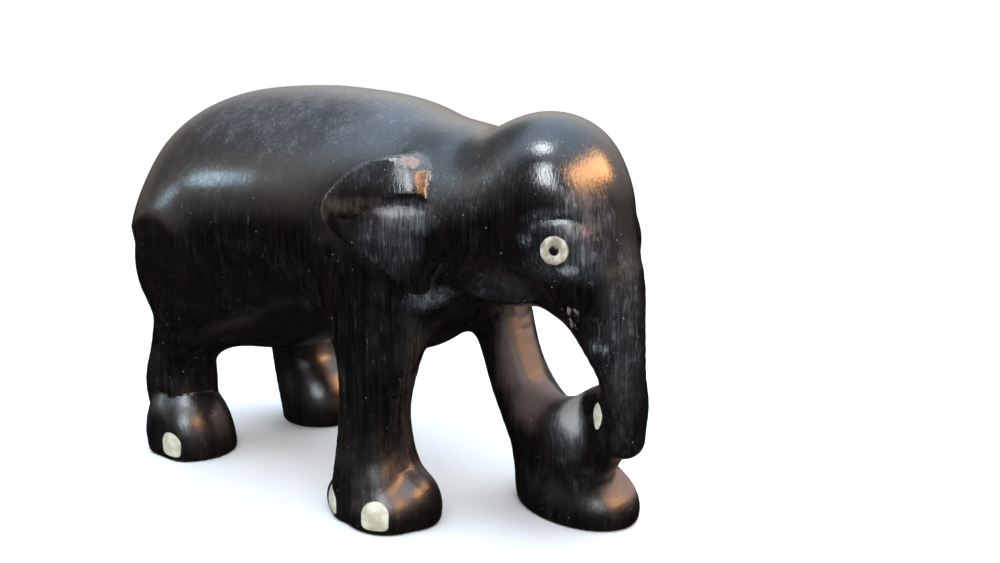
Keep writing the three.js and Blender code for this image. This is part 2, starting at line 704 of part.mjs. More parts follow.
const elephant = new THREE.Group();
elephant.add(piece("elephant", wood, WOOD, WOOD_TRIANGLES));
for (const { name, body, look } of inlays) {
  elephant.add(piece(name, body, look, INLAY_TRIANGLES));
}
const box = new THREE.Box3().setFromObject(elephant);
elephant.position.set(-(box.min.x + box.max.x) / 2, -(box.min.y + box.max.y) / 2, 0);
elephant.updateMatrixWorld(true);

export default elephant;
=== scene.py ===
"""A small elephant carved from near-black hardwood, with bone eyes and toenails let into the wood.

The script is laid out as an add-on and is run as a script. It carves the wood again as a fine mesh,
from the same eggs, limbs and cuts as the solid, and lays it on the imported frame. Metres throughout;
the carving itself is given in parts of the height, 65 parts from the floor to the top of the back.
"""
import math

import bpy
import numpy as np
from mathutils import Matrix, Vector


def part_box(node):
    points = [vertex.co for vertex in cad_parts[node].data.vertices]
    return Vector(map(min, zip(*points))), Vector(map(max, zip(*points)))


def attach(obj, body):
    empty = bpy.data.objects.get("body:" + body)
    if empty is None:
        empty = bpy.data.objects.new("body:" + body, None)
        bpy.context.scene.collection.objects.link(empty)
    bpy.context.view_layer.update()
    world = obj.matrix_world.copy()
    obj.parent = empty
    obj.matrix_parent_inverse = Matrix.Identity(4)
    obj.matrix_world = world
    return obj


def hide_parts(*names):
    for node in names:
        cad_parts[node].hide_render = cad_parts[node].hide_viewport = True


bl_info = {
    "name": "Carved wooden elephant",
    "version": (1, 0, 0),
    "blender": (4, 5, 0),
    "location": "View3D > Sidebar > Elephant",
    "description": "Carves, inlays, finishes and lights a small hardwood elephant",
    "category": "Object",
}

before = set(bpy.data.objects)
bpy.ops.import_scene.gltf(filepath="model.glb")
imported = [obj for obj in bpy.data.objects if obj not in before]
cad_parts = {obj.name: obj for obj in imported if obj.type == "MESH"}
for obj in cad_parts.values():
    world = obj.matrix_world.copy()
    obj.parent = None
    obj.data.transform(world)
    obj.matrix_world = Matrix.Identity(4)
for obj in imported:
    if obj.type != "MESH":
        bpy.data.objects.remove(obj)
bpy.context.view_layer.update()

PARTS_TALL = 65
PART = 0.065 / PARTS_TALL
SIDES = (("right", -1), ("left", 1))


# Implicit forms in parts: each is (low corner, high corner, signed distance), negative inside


def egg(centre, radii, nose=0, turn=0):
    """An ellipsoid, turned about Z and then its nose tipped up about Y, in degrees."""
    centre, radii = np.array(centre, float), np.array(radii, float)
    c, s = math.cos(math.radians(nose)), math.sin(math.radians(nose))
    ct, st = math.cos(math.radians(turn)), math.sin(math.radians(turn))

    def distance(x, y, z):
        along = (x - centre[0]) * ct + (y - centre[1]) * st
        py = (y - centre[1]) * ct - (x - centre[0]) * st
        px = along * c + (z - centre[2]) * s
        pz = (z - centre[2]) * c - along * s
        k0 = np.sqrt((px / radii[0]) ** 2 + (py / radii[1]) ** 2 + (pz / radii[2]) ** 2)
        k1 = np.sqrt((px / radii[0] ** 2) ** 2 + (py / radii[1] ** 2) ** 2 + (pz / radii[2] ** 2) ** 2)
        return np.where(k1 > 1e-9, k0 * (k0 - 1) / np.maximum(k1, 1e-9), -radii.min())

    return centre - radii.max(), centre + radii.max(), distance


def spline(stations, steps):
    """A smooth curve through stations of any number of values."""
    p = np.array(stations, float)
    p = np.vstack([2 * p[0] - p[1], p, 2 * p[-1] - p[-2]])
    out = []
    for i in range(1, len(p) - 2):
        a, b, c, d = p[i - 1:i + 3]
        for k in range(steps):
            t = k / steps
            bend = (2 * a - 5 * b + 4 * c - d) * t * t + (3 * b - a - 3 * c + d) * t ** 3
            out.append(0.5 * (2 * b + (c - a) * t + bend))
    out.append(p[-2])
    return np.array(out)


def limb(stations, steps=4, flats=()):
    """A tapering limb through stations (x, y, z, radius), pared flat on the sides given by directions."""
    path = spline(stations, steps)
    reach = path[:, 3].max()

    def distance(x, y, z):
        best = np.inf
        for a, b in zip(path[:-1], path[1:]):
            d = b[:3] - a[:3]
            px, py, pz = x - a[0], y - a[1], z - a[2]
            t = np.clip((px * d[0] + py * d[1] + pz * d[2]) / (d @ d), 0, 1)
            ox, oy, oz = px - d[0] * t, py - d[1] * t, pz - d[2] * t
            radius = a[3] + (b[3] - a[3]) * t
            skin = np.sqrt(ox ** 2 + oy ** 2 + oz ** 2) - radius
            for fx, fy, fz in flats:
                skin = soft_max(skin, ox * fx + oy * fy + oz * fz - FLATNESS * radius, 0.5)
            best = np.minimum(best, skin)
        return best

    return path[:, :3].min(0) - reach, path[:, :3].max(0) + reach, distance


def outline(points):
    """Signed distance to a closed outline in X and Z."""

    def distance(x, z):
        best = np.inf
        inside = False
        for (ax, az), (bx, bz) in zip(points, np.roll(points, 1, axis=0)):
            ex, ez = bx - ax, bz - az
            wx, wz = x - ax, z - az
            t = np.clip((wx * ex + wz * ez) / (ex * ex + ez * ez), 0, 1)
            best = np.minimum(best, np.hypot(wx - ex * t, wz - ez * t))
            crosses = ((az > z) != (bz > z)) & (x < ax + ex * (z - az) / (ez if ez else 1e-9))
            inside = inside ^ crosses
        return np.where(inside, -best, best)

    return distance


def soft_min(a, b, k):
    if k <= 0:
        return np.minimum(a, b)
    h = np.maximum(k - np.abs(a - b), 0) / k
    return np.minimum(a, b) - h * h * k / 4


def soft_max(a, b, k):
    return -soft_min(-a, -b, k)


EAR_RIM = [
    [26, 54.6], [24.2, 56.2], [21.2, 56.8], [16.9, 54.9], [13.4, 51.2], [12.6, 48.2],
    [14.4, 45.8], [19, 42.4], [22.2, 39.2], [24.4, 36.2], [28.4, 40.8], [28.1, 47.3], [26, 54.6],
]
FLAP = [
    [15.8, 48.3], [19, 49.7], [23, 50.7], [28.4, 51.4], [32, 44],
    [28, 33], [22, 35], [17.6, 42.6], [15.8, 48.3],
]
FLAP_DEPTH = 1.3
FLAP_FADE = [33, 15]
FOLD_BEVEL = 1.3
EAR_REACH = 24
EAR_MARGIN = 4


def ear(side):
    """A plate proud of the neck, its face following a large egg and its lower flap cut back under a fold."""
    edge = outline(spline(EAR_RIM, 3)[:-1])
    flap = outline(spline(FLAP, 3)[:-1])
    face = egg([9, 0, 47], [26, 21.5, 22])[2]
    back = egg([9, 0, 47], [22, 12, 20])[2]

    def distance(x, y, z):
        over = face(x, y, z)
        plate = soft_max(edge(x, z), over, 0.9)
        shell = soft_max(plate, -back(x, y, z), 1)
        depth = FLAP_DEPTH * np.clip((z - FLAP_FADE[0]) / FLAP_FADE[1], 0.2, 1)
        wall = (flap(x, z) - FOLD_BEVEL * np.minimum(over, 0)) / math.hypot(1, FOLD_BEVEL)
        sunk = soft_max(wall, -(over + depth), 0.3)
        return np.maximum(soft_max(shell, -sunk, 0.2), -side * y)

    (x0, z0), (x1, z1) = np.min(EAR_RIM, 0) - EAR_MARGIN, np.max(EAR_RIM, 0) + EAR_MARGIN
    inner, outer = (0, EAR_REACH) if side > 0 else (-EAR_REACH, 0)
    return np.array([x0, inner, z0]), np.array([x1, outer, z1]), distance


class Carving:
    """Steps of adding and cutting, each blended over a width, in their order."""

    REACH = 1.5  # parts round the surface where the distance is still good

    def __init__(self):
        self.steps = []

    def add(self, form, blend):
        self.steps.append((form, blend, True))

    def cut(self, form, blend):
        self.steps.append((form, blend, False))

    def distance(self, points):
        """Signed distance at points of any number, in parts."""
        x, y, z = np.asarray(points, float).T
        d = np.full(len(x), 50.0)
        for (low, high, form), blend, keep in self.steps:
            m = blend + self.REACH
            near = (x > low[0] - m) & (x < high[0] + m) & (y > low[1] - m)
            near &= (y < high[1] + m) & (z > low[2] - m) & (z < high[2] + m)
            if near.any():
                f = form(x[near], y[near], z[near])
                d[near] = soft_min(d[near], f, blend) if keep else soft_max(d[near], -f, blend)
        return d

    def slope(self, points, e=0.05):
        """Unit outward direction at points."""
        g = np.empty((len(points), 3))
        for n in range(3):
            shift = np.zeros(3)
            shift[n] = e
            g[:, n] = self.distance(points + shift) - self.distance(points - shift)
        return g / np.maximum(np.linalg.norm(g, axis=1), 1e-12)[:, None]

    def meet(self, starts, ways):
        """Where rays that start in the open first meet the wood."""
        p, d = np.array(starts, float), np.array(ways, float)
        d /= np.linalg.norm(d, axis=1)[:, None]
        for _ in range(400):
            away = self.distance(p)
            open_still = away > 0.002
            if not open_still.any():
                break
            p += d * (np.clip(away * 0.6 + 0.001, 0, 1) * open_still)[:, None]
        return p

    def on_flank(self, places, side, sink):
        """Stations laid on the flank of one side, from places (x, z, radius) and a depth."""
        places = np.array(places, float)
        starts = np.column_stack([places[:, 0], np.full(len(places), side * 30.0), places[:, 1]])
        p = self.meet(starts, np.tile([0.0, -side, 0.0], (len(places), 1)))
        return np.column_stack([places[:, 0], p[:, 1] - side * sink, places[:, 1], places[:, 2]])


OVAL = 2
FLATNESS = 0.84
FRONT = [0.87, 0, 0.49]
HIND_NEAR = [
    [-30, -8.5, 36, 14], [-31.6, -11.5, 26, 8], [-34.2, -13, 18.5, 5.9], [-35.4, -13.2, 12.5, 6.3],
    [-34.4, -13.5, 8, 6.2], [-32.7, -14, 3.8, 7.6], [-31.7, -13.7, 0, 7.4], [-31.5, -13.6, -3, 6.2],
]
HIND_FAR = [
    [-30, 8.5, 36, 14], [-30.5, 11.5, 26, 8], [-33.4, 13, 18.5, 6.2],
    [-32, 13.3, 10, 6.4], [-28.8, 14, 3.5, 7.9], [-28.5, 14, 0, 7.6], [-28.5, 14, -3, 6.4],
]
FORE_NEAR = [
    [12.5, -9, 37, 10], [15, -12, 27, 6.8], [14.9, -13, 18, 5.5],
    [14.8, -13, 10, 6.2], [15.4, -13, 4.4, 7.3], [15.6, -12.9, 0, 7], [15.6, -12.9, -3, 6],
]
FORE_FAR = [[16, 9, 37, 8.4], [20, 11, 28, 5.2], [24.5, 11, 18, 5.2], [30, 11, 10, 6.2]]
FORE_FAR_FOOT = [36.6, 9.8, 1.8]
TOES = [
    ([11.4, -12.8, 1.8], [6.4, 5, 4.8], 2), ([19.8, -11.6, 2.4], [5.8, 5.4, 6.4], 1.2),
    ([18, -14.9, 1.9], [6.2, 5.1, 5.5], 0.8),
]
NECK_CREASE = [[23.6, 35.6, 0.7], [28.8, 41, 0.9]]
CREASE_RISE = 0.5
CHEEK = {"place": [40.3, 22.1, 28.9], "round": 18}
EYE_PLACE = [46.3, 45.1]
SOCKET = {"x": 46.1, "z": 44.9, "wide": 5, "deep": 2.5, "high": 4.9, "sunk": 2.1}
LID = [[42.4, 47.1, 0.05], [44, 48.7, 0.4], [46.6, 49.4, 0.4], [48.6, 49, 0.05]]
SOLE_ROUND = 0.8
NAILS = [
    ("fore_right_a", FORE_NEAR[4], -1, 50), ("fore_right_b", FORE_NEAR[4], -1, 135),
    ("hind_right", HIND_NEAR[5], -1, 64), ("fore_left_a", FORE_FAR_FOOT, 1, 72),
    ("fore_left_b", FORE_FAR_FOOT, 1, 115), ("hind_left", HIND_FAR[4], 1, 60),
]
OVAL_PLACE = [47.4, 0, 19.8]
OVAL_FACES = [0.57, -0.78, 0.25]
# Where the carved mesh is sought, in parts
GRID_LOW = np.array([-56.0, -27, -1.5])
GRID_HIGH = np.array([61.0, 27, 70])
CUTTER_RISE = 0.0007  # how far a pocket's cutter stands out of the wood, in metres
INLAY_SIDES = 64
# Toenails and the oval: share of the outline, and rise over the wood in softened edges
INLAY_CROWN = (
    (0, 0.4), (0.3, 0.36), (0.6, 0.22), (0.82, 0), (0.93, -0.2), (0.985, -0.6), (1, -1.2),
)
# Marks of wear, dust and painted sheen: middle and radii in parts, and how strong each one is
# Brown where the polish is rubbed off; the marks on the front of the far fore leg, on the far toe and on the
# near fore leg's front edge also paint the warm lamp's reflection there
WEAR_AND_SHEEN = [
    ([26, 9.3, 24.5], [4, 5, 9], 1), ([31.5, 8, 17], [6, 5, 5], 0.9),
    ([45.4, 10, 6.2], [3.6, 5, 2.2], 1), ([20.2, -10.7, 21], [1.8, 3, 13], 0.3),
    ([21.8, -14, 8.2], [3, 5, 3], 0.15), ([19, -18.6, 5.4], [5, 3, 3], 0.15),
    ([-27.2, -17.6, 7.6], [3.4, 4, 2.6], 0.1), ([19.5, -18.8, 49.6], [9, 4, 1.5], 0.5),
    ([13.2, -19, 49], [1.4, 5, 4], 0.45), ([53, -3, 24], [2, 3, 9], 0.2),
    ([45, 3.2, 6.4], [4, 4, 3], 0.12), ([53.5, -1, 40], [2, 4, 12], 0.15),
]
# Grey bloom of dust and old wax; the strong mark on the web between the far fore leg and the trunk is a
# painted pale reflection
HAZE_AND_SHEEN = [
    ([-6, -8, 63], [24, 13, 9], 0.5), ([-20, -17, 53], [9, 5, 9], 0.08),
    ([24.8, -15.6, 48.2], [4.2, 3, 2.4], 1.1), ([22.6, -17, 44], [5, 3, 4.6], 0.45),
    ([49.3, -7.2, 42.4], [3.2, 2.4, 1.5], 0.4), ([40.4, 2.4, 17], [5, 3, 5], 1),
    ([24, -10, 35.2], [4.6, 3, 2.2], 0.75), ([49.5, -6, 48.5], [4, 3.4, 6.5], 0.85),
    ([19.6, -18.6, 7.2], [4, 3, 2.6], 0.3), ([50.9, -4.6, 31.2], [1.8, 1.6, 1.4], 0.5),
    ([42.5, -10.5, 46.4], [1.1, 1, 1.3], 0.55), ([17, -17.5, 54.5], [5, 3, 2.6], 0.25),
    ([53.6, -2.6, 36], [3, 3, 14], 0.3), ([35.6, -7.6, 38.6], [5, 2.4, 3.4], 0.15),
    ([-17, -20, 50], [9, 4, 6], 0.05), ([32, -13, 55], [9, 5, 5], 0.25),
    ([-8, 9, 62], [24, 12, 8], 0.25), ([44, 3, 8], [5, 5, 3], 0.15), ([39, 3, 14], [4, 3, 4], 0.3),
    ([25.2, -13.8, 54.8], [2.6, 3, 2.2], 0.9), ([46.5, -8.4, 48.8], [5, 3, 1.8], 0.7),
    ([47, -9, 44], [5, 2, 4], 0.3),
]
# Pale dust caught in the carving; the first mark, on the web between the far fore leg and the trunk, is a
# painted pale reflection
CHALK_AND_SHEEN = [
    ([41.2, 2.1, 18.6], [3.8, 2.6, 4], 1), ([24, -16.2, 49], [4.6, 2.6, 1], 0.55),
    ([23, -12, 36.2], [1, 1, 0.6], 0.8), ([42.5, -10.5, 46.4], [0.9, 1, 1], 0.4),
    ([48.5, -8, 42.3], [2.4, 1, 0.7], 0.45), ([50.9, -4.6, 31.2], [1.4, 1.4, 0.8], 0.5),
]
RAW = [
    ([24.6, -14.2, 56], [2.4, 2, 1], 0.9), ([46.8, -6.3, 36.4], [2.4, 1.4, 0.6], 0.6),
    ([46.8, -6, 34.2], [1.5, 1.6, 1.1], 0.5),
]
# Dark sides of the room: the way toward one, the cosines where it starts and is full, and how dark it is
DARK_WAYS = (
    ((0.25, -0.93, 0.26), 0.6, 0.85, 0.85),
    ((-0.83, 0.03, 0.55), 0.8, 0.97, 0.78),
    ((0.93, 0.16, 0.3), 0.88, 0.98, 0.75),
)
LIGHTS_AIM = (0, 0, 0.035)
# Name, azimuth, elevation, distance, width, height, watts, colour, and whether surfaces scatter or mirror it
LIGHTS = [
    ("fill", -50, 45, 1.0, 0.7, 0.7, 3.4, (1.0, 0.99, 0.97), "scatter"),
    ("lamp_high", -64, 68, 0.6, 0.18, 0.13, 2.1, (0.93, 0.97, 1.0), "mirror"),
    ("lamp_low", -55, 32, 0.6, 0.15, 0.24, 3.0, (0.9, 0.96, 1.0), "mirror"),
    ("window", -147, 18, 0.6, 0.04, 0.07, 0.24, (0.6, 0.82, 1.0), "mirror"),
    ("warm", 16, 36, 0.6, 0.74, 0.15, 9.0, (1.0, 0.47, 0.18), "mirror"),
]


def carve_body(c):
    c.add(egg([-25.2, 0, 40.4], [24.7, 20.8, 22.4]), 0)
    c.add(egg([-7, 0, 44.1], [30, 20.5, 21]), 7)
    c.add(egg([10, 0, 45], [19, 16.8, 17.3]), 7)
    c.add(egg([11.5, 0, 35.6], [10.6, 12, 11.6]), 4)
    c.add(egg([25, 0, 48], [12, 13.6, 12]), 6)
    c.add(egg([29.5, 0, 46.5], [9, 14, 9.5]), 4)


def carve_head(c):
    c.add(egg([37, 0, 47], [12.7, 11.3, 11.3], 8), 5)
    c.add(egg([33.5, 0, 41.2], [11, 10.4, 6.6]), 2.5)
    c.add(egg([38.4, 0, 53], [10.7, 11, 9.9]), 4)
    trunk = [
        [43, 0, 48, 7.4], [46.6, 0, 40, 6.9], [49.2, 0, 33.5, 5.1],
        [51.5, 0, 27, 3.4], [53.2, 0.1, 21, 2.05], [52.4, 0.6, 17.2, 2.25],
    ]
    c.add(limb(trunk), 4)
    c.add(egg([43.5, 0, 36.6], [4.2, 4.6, 2.2], -14), 2.5)


def carve_legs(c):
    c.add(limb(HIND_NEAR, 4, [[0, -1, 0]]), 5)
    c.add(limb(HIND_FAR, 4, [[0, 1, 0]]), 5)
    c.add(limb(FORE_NEAR, 4, [[1, 0, 0], [0, -1, 0]]), 4)
    for place, radii, blend in TOES:
        c.add(egg(place, radii), blend)
    c.add(limb(FORE_FAR, 4, [FRONT, [0, -1, 0]]), 3)
    c.add(egg(FORE_FAR_FOOT, [12, 8, 7], 0, -14), 5)
    c.add(limb([[33, 9, 13, 5], [40, 6, 16.2, 3.6], [45.8, 3.2, 20, 3.2], [50, 2.2, 22, 3.1]]), 4)
    c.add(limb([[38, 8, 8, 4], [44, 4.5, 11.5, 3.4], [49.5, 1.6, 16.5, 2.4]]), 4)
    tail = [
        [-46.4, 0, 52, 1.2], [-49.1, 0, 44, 1.6], [-49.2, 0, 36, 1.5],
        [-46.2, 0, 29.5, 1.4], [-43, 0, 25, 2],
    ]
    c.add(limb(tail), 1.2)


def carve_ears(c):
    for _, side in SIDES:
        c.add(ear(side), 0.5)
    for _, side in SIDES:
        c.cut(limb(c.on_flank(NECK_CREASE, side, -CREASE_RISE), 1), 0.2)


def carve_mouth(c):
    for _, side in SIDES:
        x, y, z = CHEEK["place"]
        c.cut(egg([x, side * y, z], [CHEEK["round"]] * 3), 0.3)
        c.add(egg([46.6, side * 4.9, 35.7], [2.8, 1.2, 1.2], -22), 0.6)
        c.cut(egg([50.4, side * 6.1, 33.5], [2.7, 2, 3.2], -20), 0.3)
        c.cut(egg([46.8, side * 6.7, 34.1], [2.3, 1.4, 1.5], -30), 0.25)


def carve_eyes(c):
    for _, side in SIDES:
        middle = c.meet([[SOCKET["x"], side * 30, SOCKET["z"]]], [[0, -side, 0]])
        out = c.slope(middle)[0]
        turn = math.degrees(math.atan2(-out[0], out[1] * side)) * side
        centre = [SOCKET["x"], middle[0][1] - side * SOCKET["sunk"], SOCKET["z"]]
        lid = c.on_flank(LID, side, 0)
        c.add(egg(centre, [SOCKET["wide"], SOCKET["deep"], SOCKET["high"]], 0, turn), 0.5)
        c.cut(limb(lid, 3), 0.6)


def floor_cut():
    """The level of the soles, as a form to cut away below it."""
    far = np.array([-200.0, -200, -200]), np.array([200.0, 200, 0])
    return far[0], far[1], lambda x, y, z: z + 0 * x


def carved():
    c = Carving()
    for step in (carve_body, carve_head, carve_legs, carve_ears, carve_mouth, carve_eyes):
        step(c)
    c.cut(floor_cut(), SOLE_ROUND)
    return c


# From the carving to a mesh


def grid_distance(c, low, high, step):
    """The carving's distance on a grid, form by form and each only where it reaches."""
    axes = [np.arange(l, h + step, step) for l, h in zip(low, high)]
    value = np.full([len(a) for a in axes], 50.0)
    for (lo, hi, form), blend, keep in c.steps:
        m = blend + 2 * step
        cut = tuple(slice(*np.searchsorted(a, (l - m, h + m))) for a, l, h in zip(axes, lo, hi))
        x, y, z = np.meshgrid(*(a[s] for a, s in zip(axes, cut)), indexing="ij", sparse=True)
        f = form(x, y, z)
        value[cut] = soft_min(value[cut], f, blend) if keep else soft_max(value[cut], -f, blend)
    return value


def surface_nets(value, low, step):
    """One vertex in each grid cell that the surface crosses, and the quads between them."""
    inside = value < 0
    nx, ny, nz = value.shape
    corners = [(i, j, k) for i in (0, 1) for j in (0, 1) for k in (0, 1)]
    count = sum(inside[i:nx - 1 + i, j:ny - 1 + j, k:nz - 1 + k].astype(np.int8) for i, j, k in corners)
    cells = np.argwhere((count > 0) & (count < 8))
    number = np.full(count.shape, -1)
    number[tuple(cells.T)] = np.arange(len(cells))
    total, crossings = np.zeros((len(cells), 3)), np.zeros(len(cells))
    for a in corners:
        for n in (0, 1, 2):
            if a[n]:
                continue
            b = tuple(1 if m == n else v for m, v in enumerate(a))
            va, vb = value[tuple((cells + a).T)], value[tuple((cells + b).T)]
            crossed = (va < 0) != (vb < 0)
            point = np.tile(np.array(a, float), (crossed.sum(), 1))
            point[:, n] += va[crossed] / (va[crossed] - vb[crossed])
            total[crossed] += point
            crossings[crossed] += 1
    points = low + (cells + total / crossings[:, None]) * step
    quads = []
    for n in (0, 1, 2):
        u, w = (n + 1) % 3, (n + 2) % 3
        here = inside[tuple(slice(0, -1) if m == n else slice(None) for m in range(3))]
        there = inside[tuple(slice(1, None) if m == n else slice(None) for m in range(3))]
        edges = np.argwhere(here != there)
        edges = edges[(edges[:, u] > 0) & (edges[:, w] > 0)]

        def owner(back_u, back_w):
            at = edges.copy()
            at[:, u] -= back_u
            at[:, w] -= back_w
            return number[tuple(at.T)]

        quad = np.stack([owner(1, 1), owner(0, 1), owner(0, 0), owner(1, 0)], 1)
        outward = here[tuple(edges.T)]
        quad[~outward] = quad[~outward][:, ::-1]
        quads.append(quad)
    return points, np.vstack(quads)


def settle(c, points, rounds=2):
    """Points moved onto the carved surface."""
    for _ in range(rounds):
        points = points - c.slope(points) * c.distance(points)[:, None]
    return points


def even_out(points, quads, rounds):
    """Each point moved to the middle of its neighbours along the quads' edges."""
    edges = np.vstack([quads[:, [n, (n + 1) % 4]] for n in range(4)])
    edges = np.vstack([edges, edges[:, ::-1]])
    count = np.bincount(edges[:, 0], minlength=len(points))
    for _ in range(rounds):
        total = np.column_stack([
            np.bincount(edges[:, 0], weights=points[edges[:, 1], n], minlength=len(points)) for n in range(3)
        ])
        points = points * 0.5 + total / count[:, None] * 0.5
    return points


def polish(normals, edges, rounds):
    """Directions drawn to those of their neighbours, but not across a crisp edge."""
    for _ in range(rounds):
        near = (normals[edges[:, 0]] * normals[edges[:, 1]]).sum(1) > 0.975
        a, b = edges[near].T
        total = normals.copy()
        for n in range(3):
            total[:, n] += np.bincount(a, weights=normals[b, n], minlength=len(normals))
            total[:, n] += np.bincount(b, weights=normals[a, n], minlength=len(normals))
        normals = total / np.linalg.norm(total, axis=1)[:, None]
    return normals


def bend_of(c, points, normals, reach):
    """How far the surface falls away (above 0) or rises (below 0) round each point, over a reach."""
    across = np.cross(normals, [0.31, 0.52, 0.79])
    across /= np.linalg.norm(across, axis=1)[:, None]
    over = np.cross(normals, across)
    total = np.zeros(len(points))
    for n in range(6):
        angle = n * math.pi / 3
        total += c.distance(points + reach * (math.cos(angle) * across + math.sin(angle) * over))
    return total / 6


def mesh_of(name, points, faces, scale=1.0):
    """A mesh from arrays of points and of faces with one number of corners."""
    mesh = bpy.data.meshes.new(name)
    sides = faces.shape[1]
    mesh.vertices.add(len(points))
    mesh.vertices.foreach_set("co", (points * scale).astype(np.float32).ravel())
    mesh.loops.add(faces.size)
    mesh.loops.foreach_set("vertex_index", faces.astype(np.int32).ravel())
    mesh.polygons.add(len(faces))
    mesh.polygons.foreach_set("loop_start", (np.arange(len(faces)) * sides).astype(np.int32))
    mesh.update(calc_edges=True)
    mesh.validate()
    return mesh


def added(name, mesh):
    piece = bpy.data.objects.new(name, mesh)
    bpy.context.scene.collection.objects.link(piece)
    return piece


def points_of(mesh):
    co = np.empty(len(mesh.vertices) * 3, np.float32)
    mesh.vertices.foreach_get("co", co)
    return co.reshape(-1, 3).astype(float)


def outline_ring(sides, squareness):
    """A round outline two units across, whose lower half may be squarer than an oval, which has 2."""
    angle = np.arange(sides) * 2 * math.pi / sides
    c, s = np.cos(angle), np.sin(angle)
    power = np.where(s < 0, squareness, OVAL)
    reach = (np.abs(c) ** power + np.abs(s) ** power) ** (-1 / power)
    return np.column_stack([reach * c, reach * s])


def filed_ring(sides, flats, share):
    """A ring two units across, filed by a share toward a polygon with a number of flats."""
    angle = np.arange(sides) * 2 * math.pi / sides
    half = math.pi / flats
    flat = math.cos(half) / np.cos(angle % (2 * half) - half)
    reach = 1 + share * (flat - 1)
    return np.column_stack([reach * np.cos(angle), reach * np.sin(angle)])


def turned(profile, ring):
    """A closed mesh of rings from a profile (share of the ring, height), top middle to foot middle."""
    sides, last = len(ring), 1 + (len(profile) - 2) * len(ring)
    rings = [np.column_stack([ring * share, np.full(sides, height)]) for share, height in profile[1:-1]]
    points = np.vstack([[[0, 0, profile[0][1]]], *rings, [[0, 0, profile[-1][1]]]])
    faces = []
    for n in range(sides):
        m = (n + 1) % sides
        faces.append([0, 1 + n, 1 + m])
        faces.append([last, last - sides + m, last - sides + n])
        for a in range(1, last - sides, sides):
            b = a + sides
            faces += [[a + n, b + n, b + m], [a + n, b + m, a + m]]
    return points, np.array(faces)


def seated(points, place, outward):
    """Points moved to a place on the wood, their height along the outward direction and Y upright."""
    z = np.array(outward) / np.linalg.norm(outward)
    x = np.cross([0, 0, 1.0], z)
    x /= np.linalg.norm(x)
    return place + points @ np.array([x, np.cross(z, x), z])


# Node trees


class Tree:
    """Adds nodes to a tree, each with its inputs linked or set."""

    def __init__(self, tree):
        self.tree = tree

    def node(self, kind, inputs=(), **settings):
        n = self.tree.nodes.new(kind)
        for key, value in settings.items():
            setattr(n, key, value)
        for socket, value in dict(inputs).items():
            self.feed(n.inputs[socket], value)
        return n

    def feed(self, socket, value):
        if isinstance(value, bpy.types.NodeSocket):
            self.tree.links.new(value, socket)
        else:
            socket.default_value = value

    def math(self, operation, *values, clamp=False):
        n = self.node("ShaderNodeMath", dict(enumerate(values)), operation=operation, use_clamp=clamp)
        return n.outputs[0]

    def ramp(self, value, low, high):
        """0 below low and 1 above high, softly."""
        limits = {"Value": value, "From Min": low, "From Max": high}
        n = self.node("ShaderNodeMapRange", limits, interpolation_type="SMOOTHSTEP")
        return n.outputs[0]

    def noise(self, place, scale, detail=3, rough=0.55):
        inputs = {"Vector": place, "Scale": scale, "Detail": detail, "Roughness": rough}
        return self.node("ShaderNodeTexNoise", inputs).outputs["Fac"]


def colour_mix(tree, share, a, b):
    n = tree.tree.nodes.new("ShaderNodeMix")
    n.data_type = "RGBA"
    tree.feed(n.inputs["Factor"], share)
    tree.feed(n.inputs[6], a)
    tree.feed(n.inputs[7], b)
    return n.outputs[2]


def new_material(name):
    material = bpy.data.materials.new(name)
    material.use_nodes = True
    return material, Tree(material.node_tree), material.node_tree.nodes["Principled BSDF"]


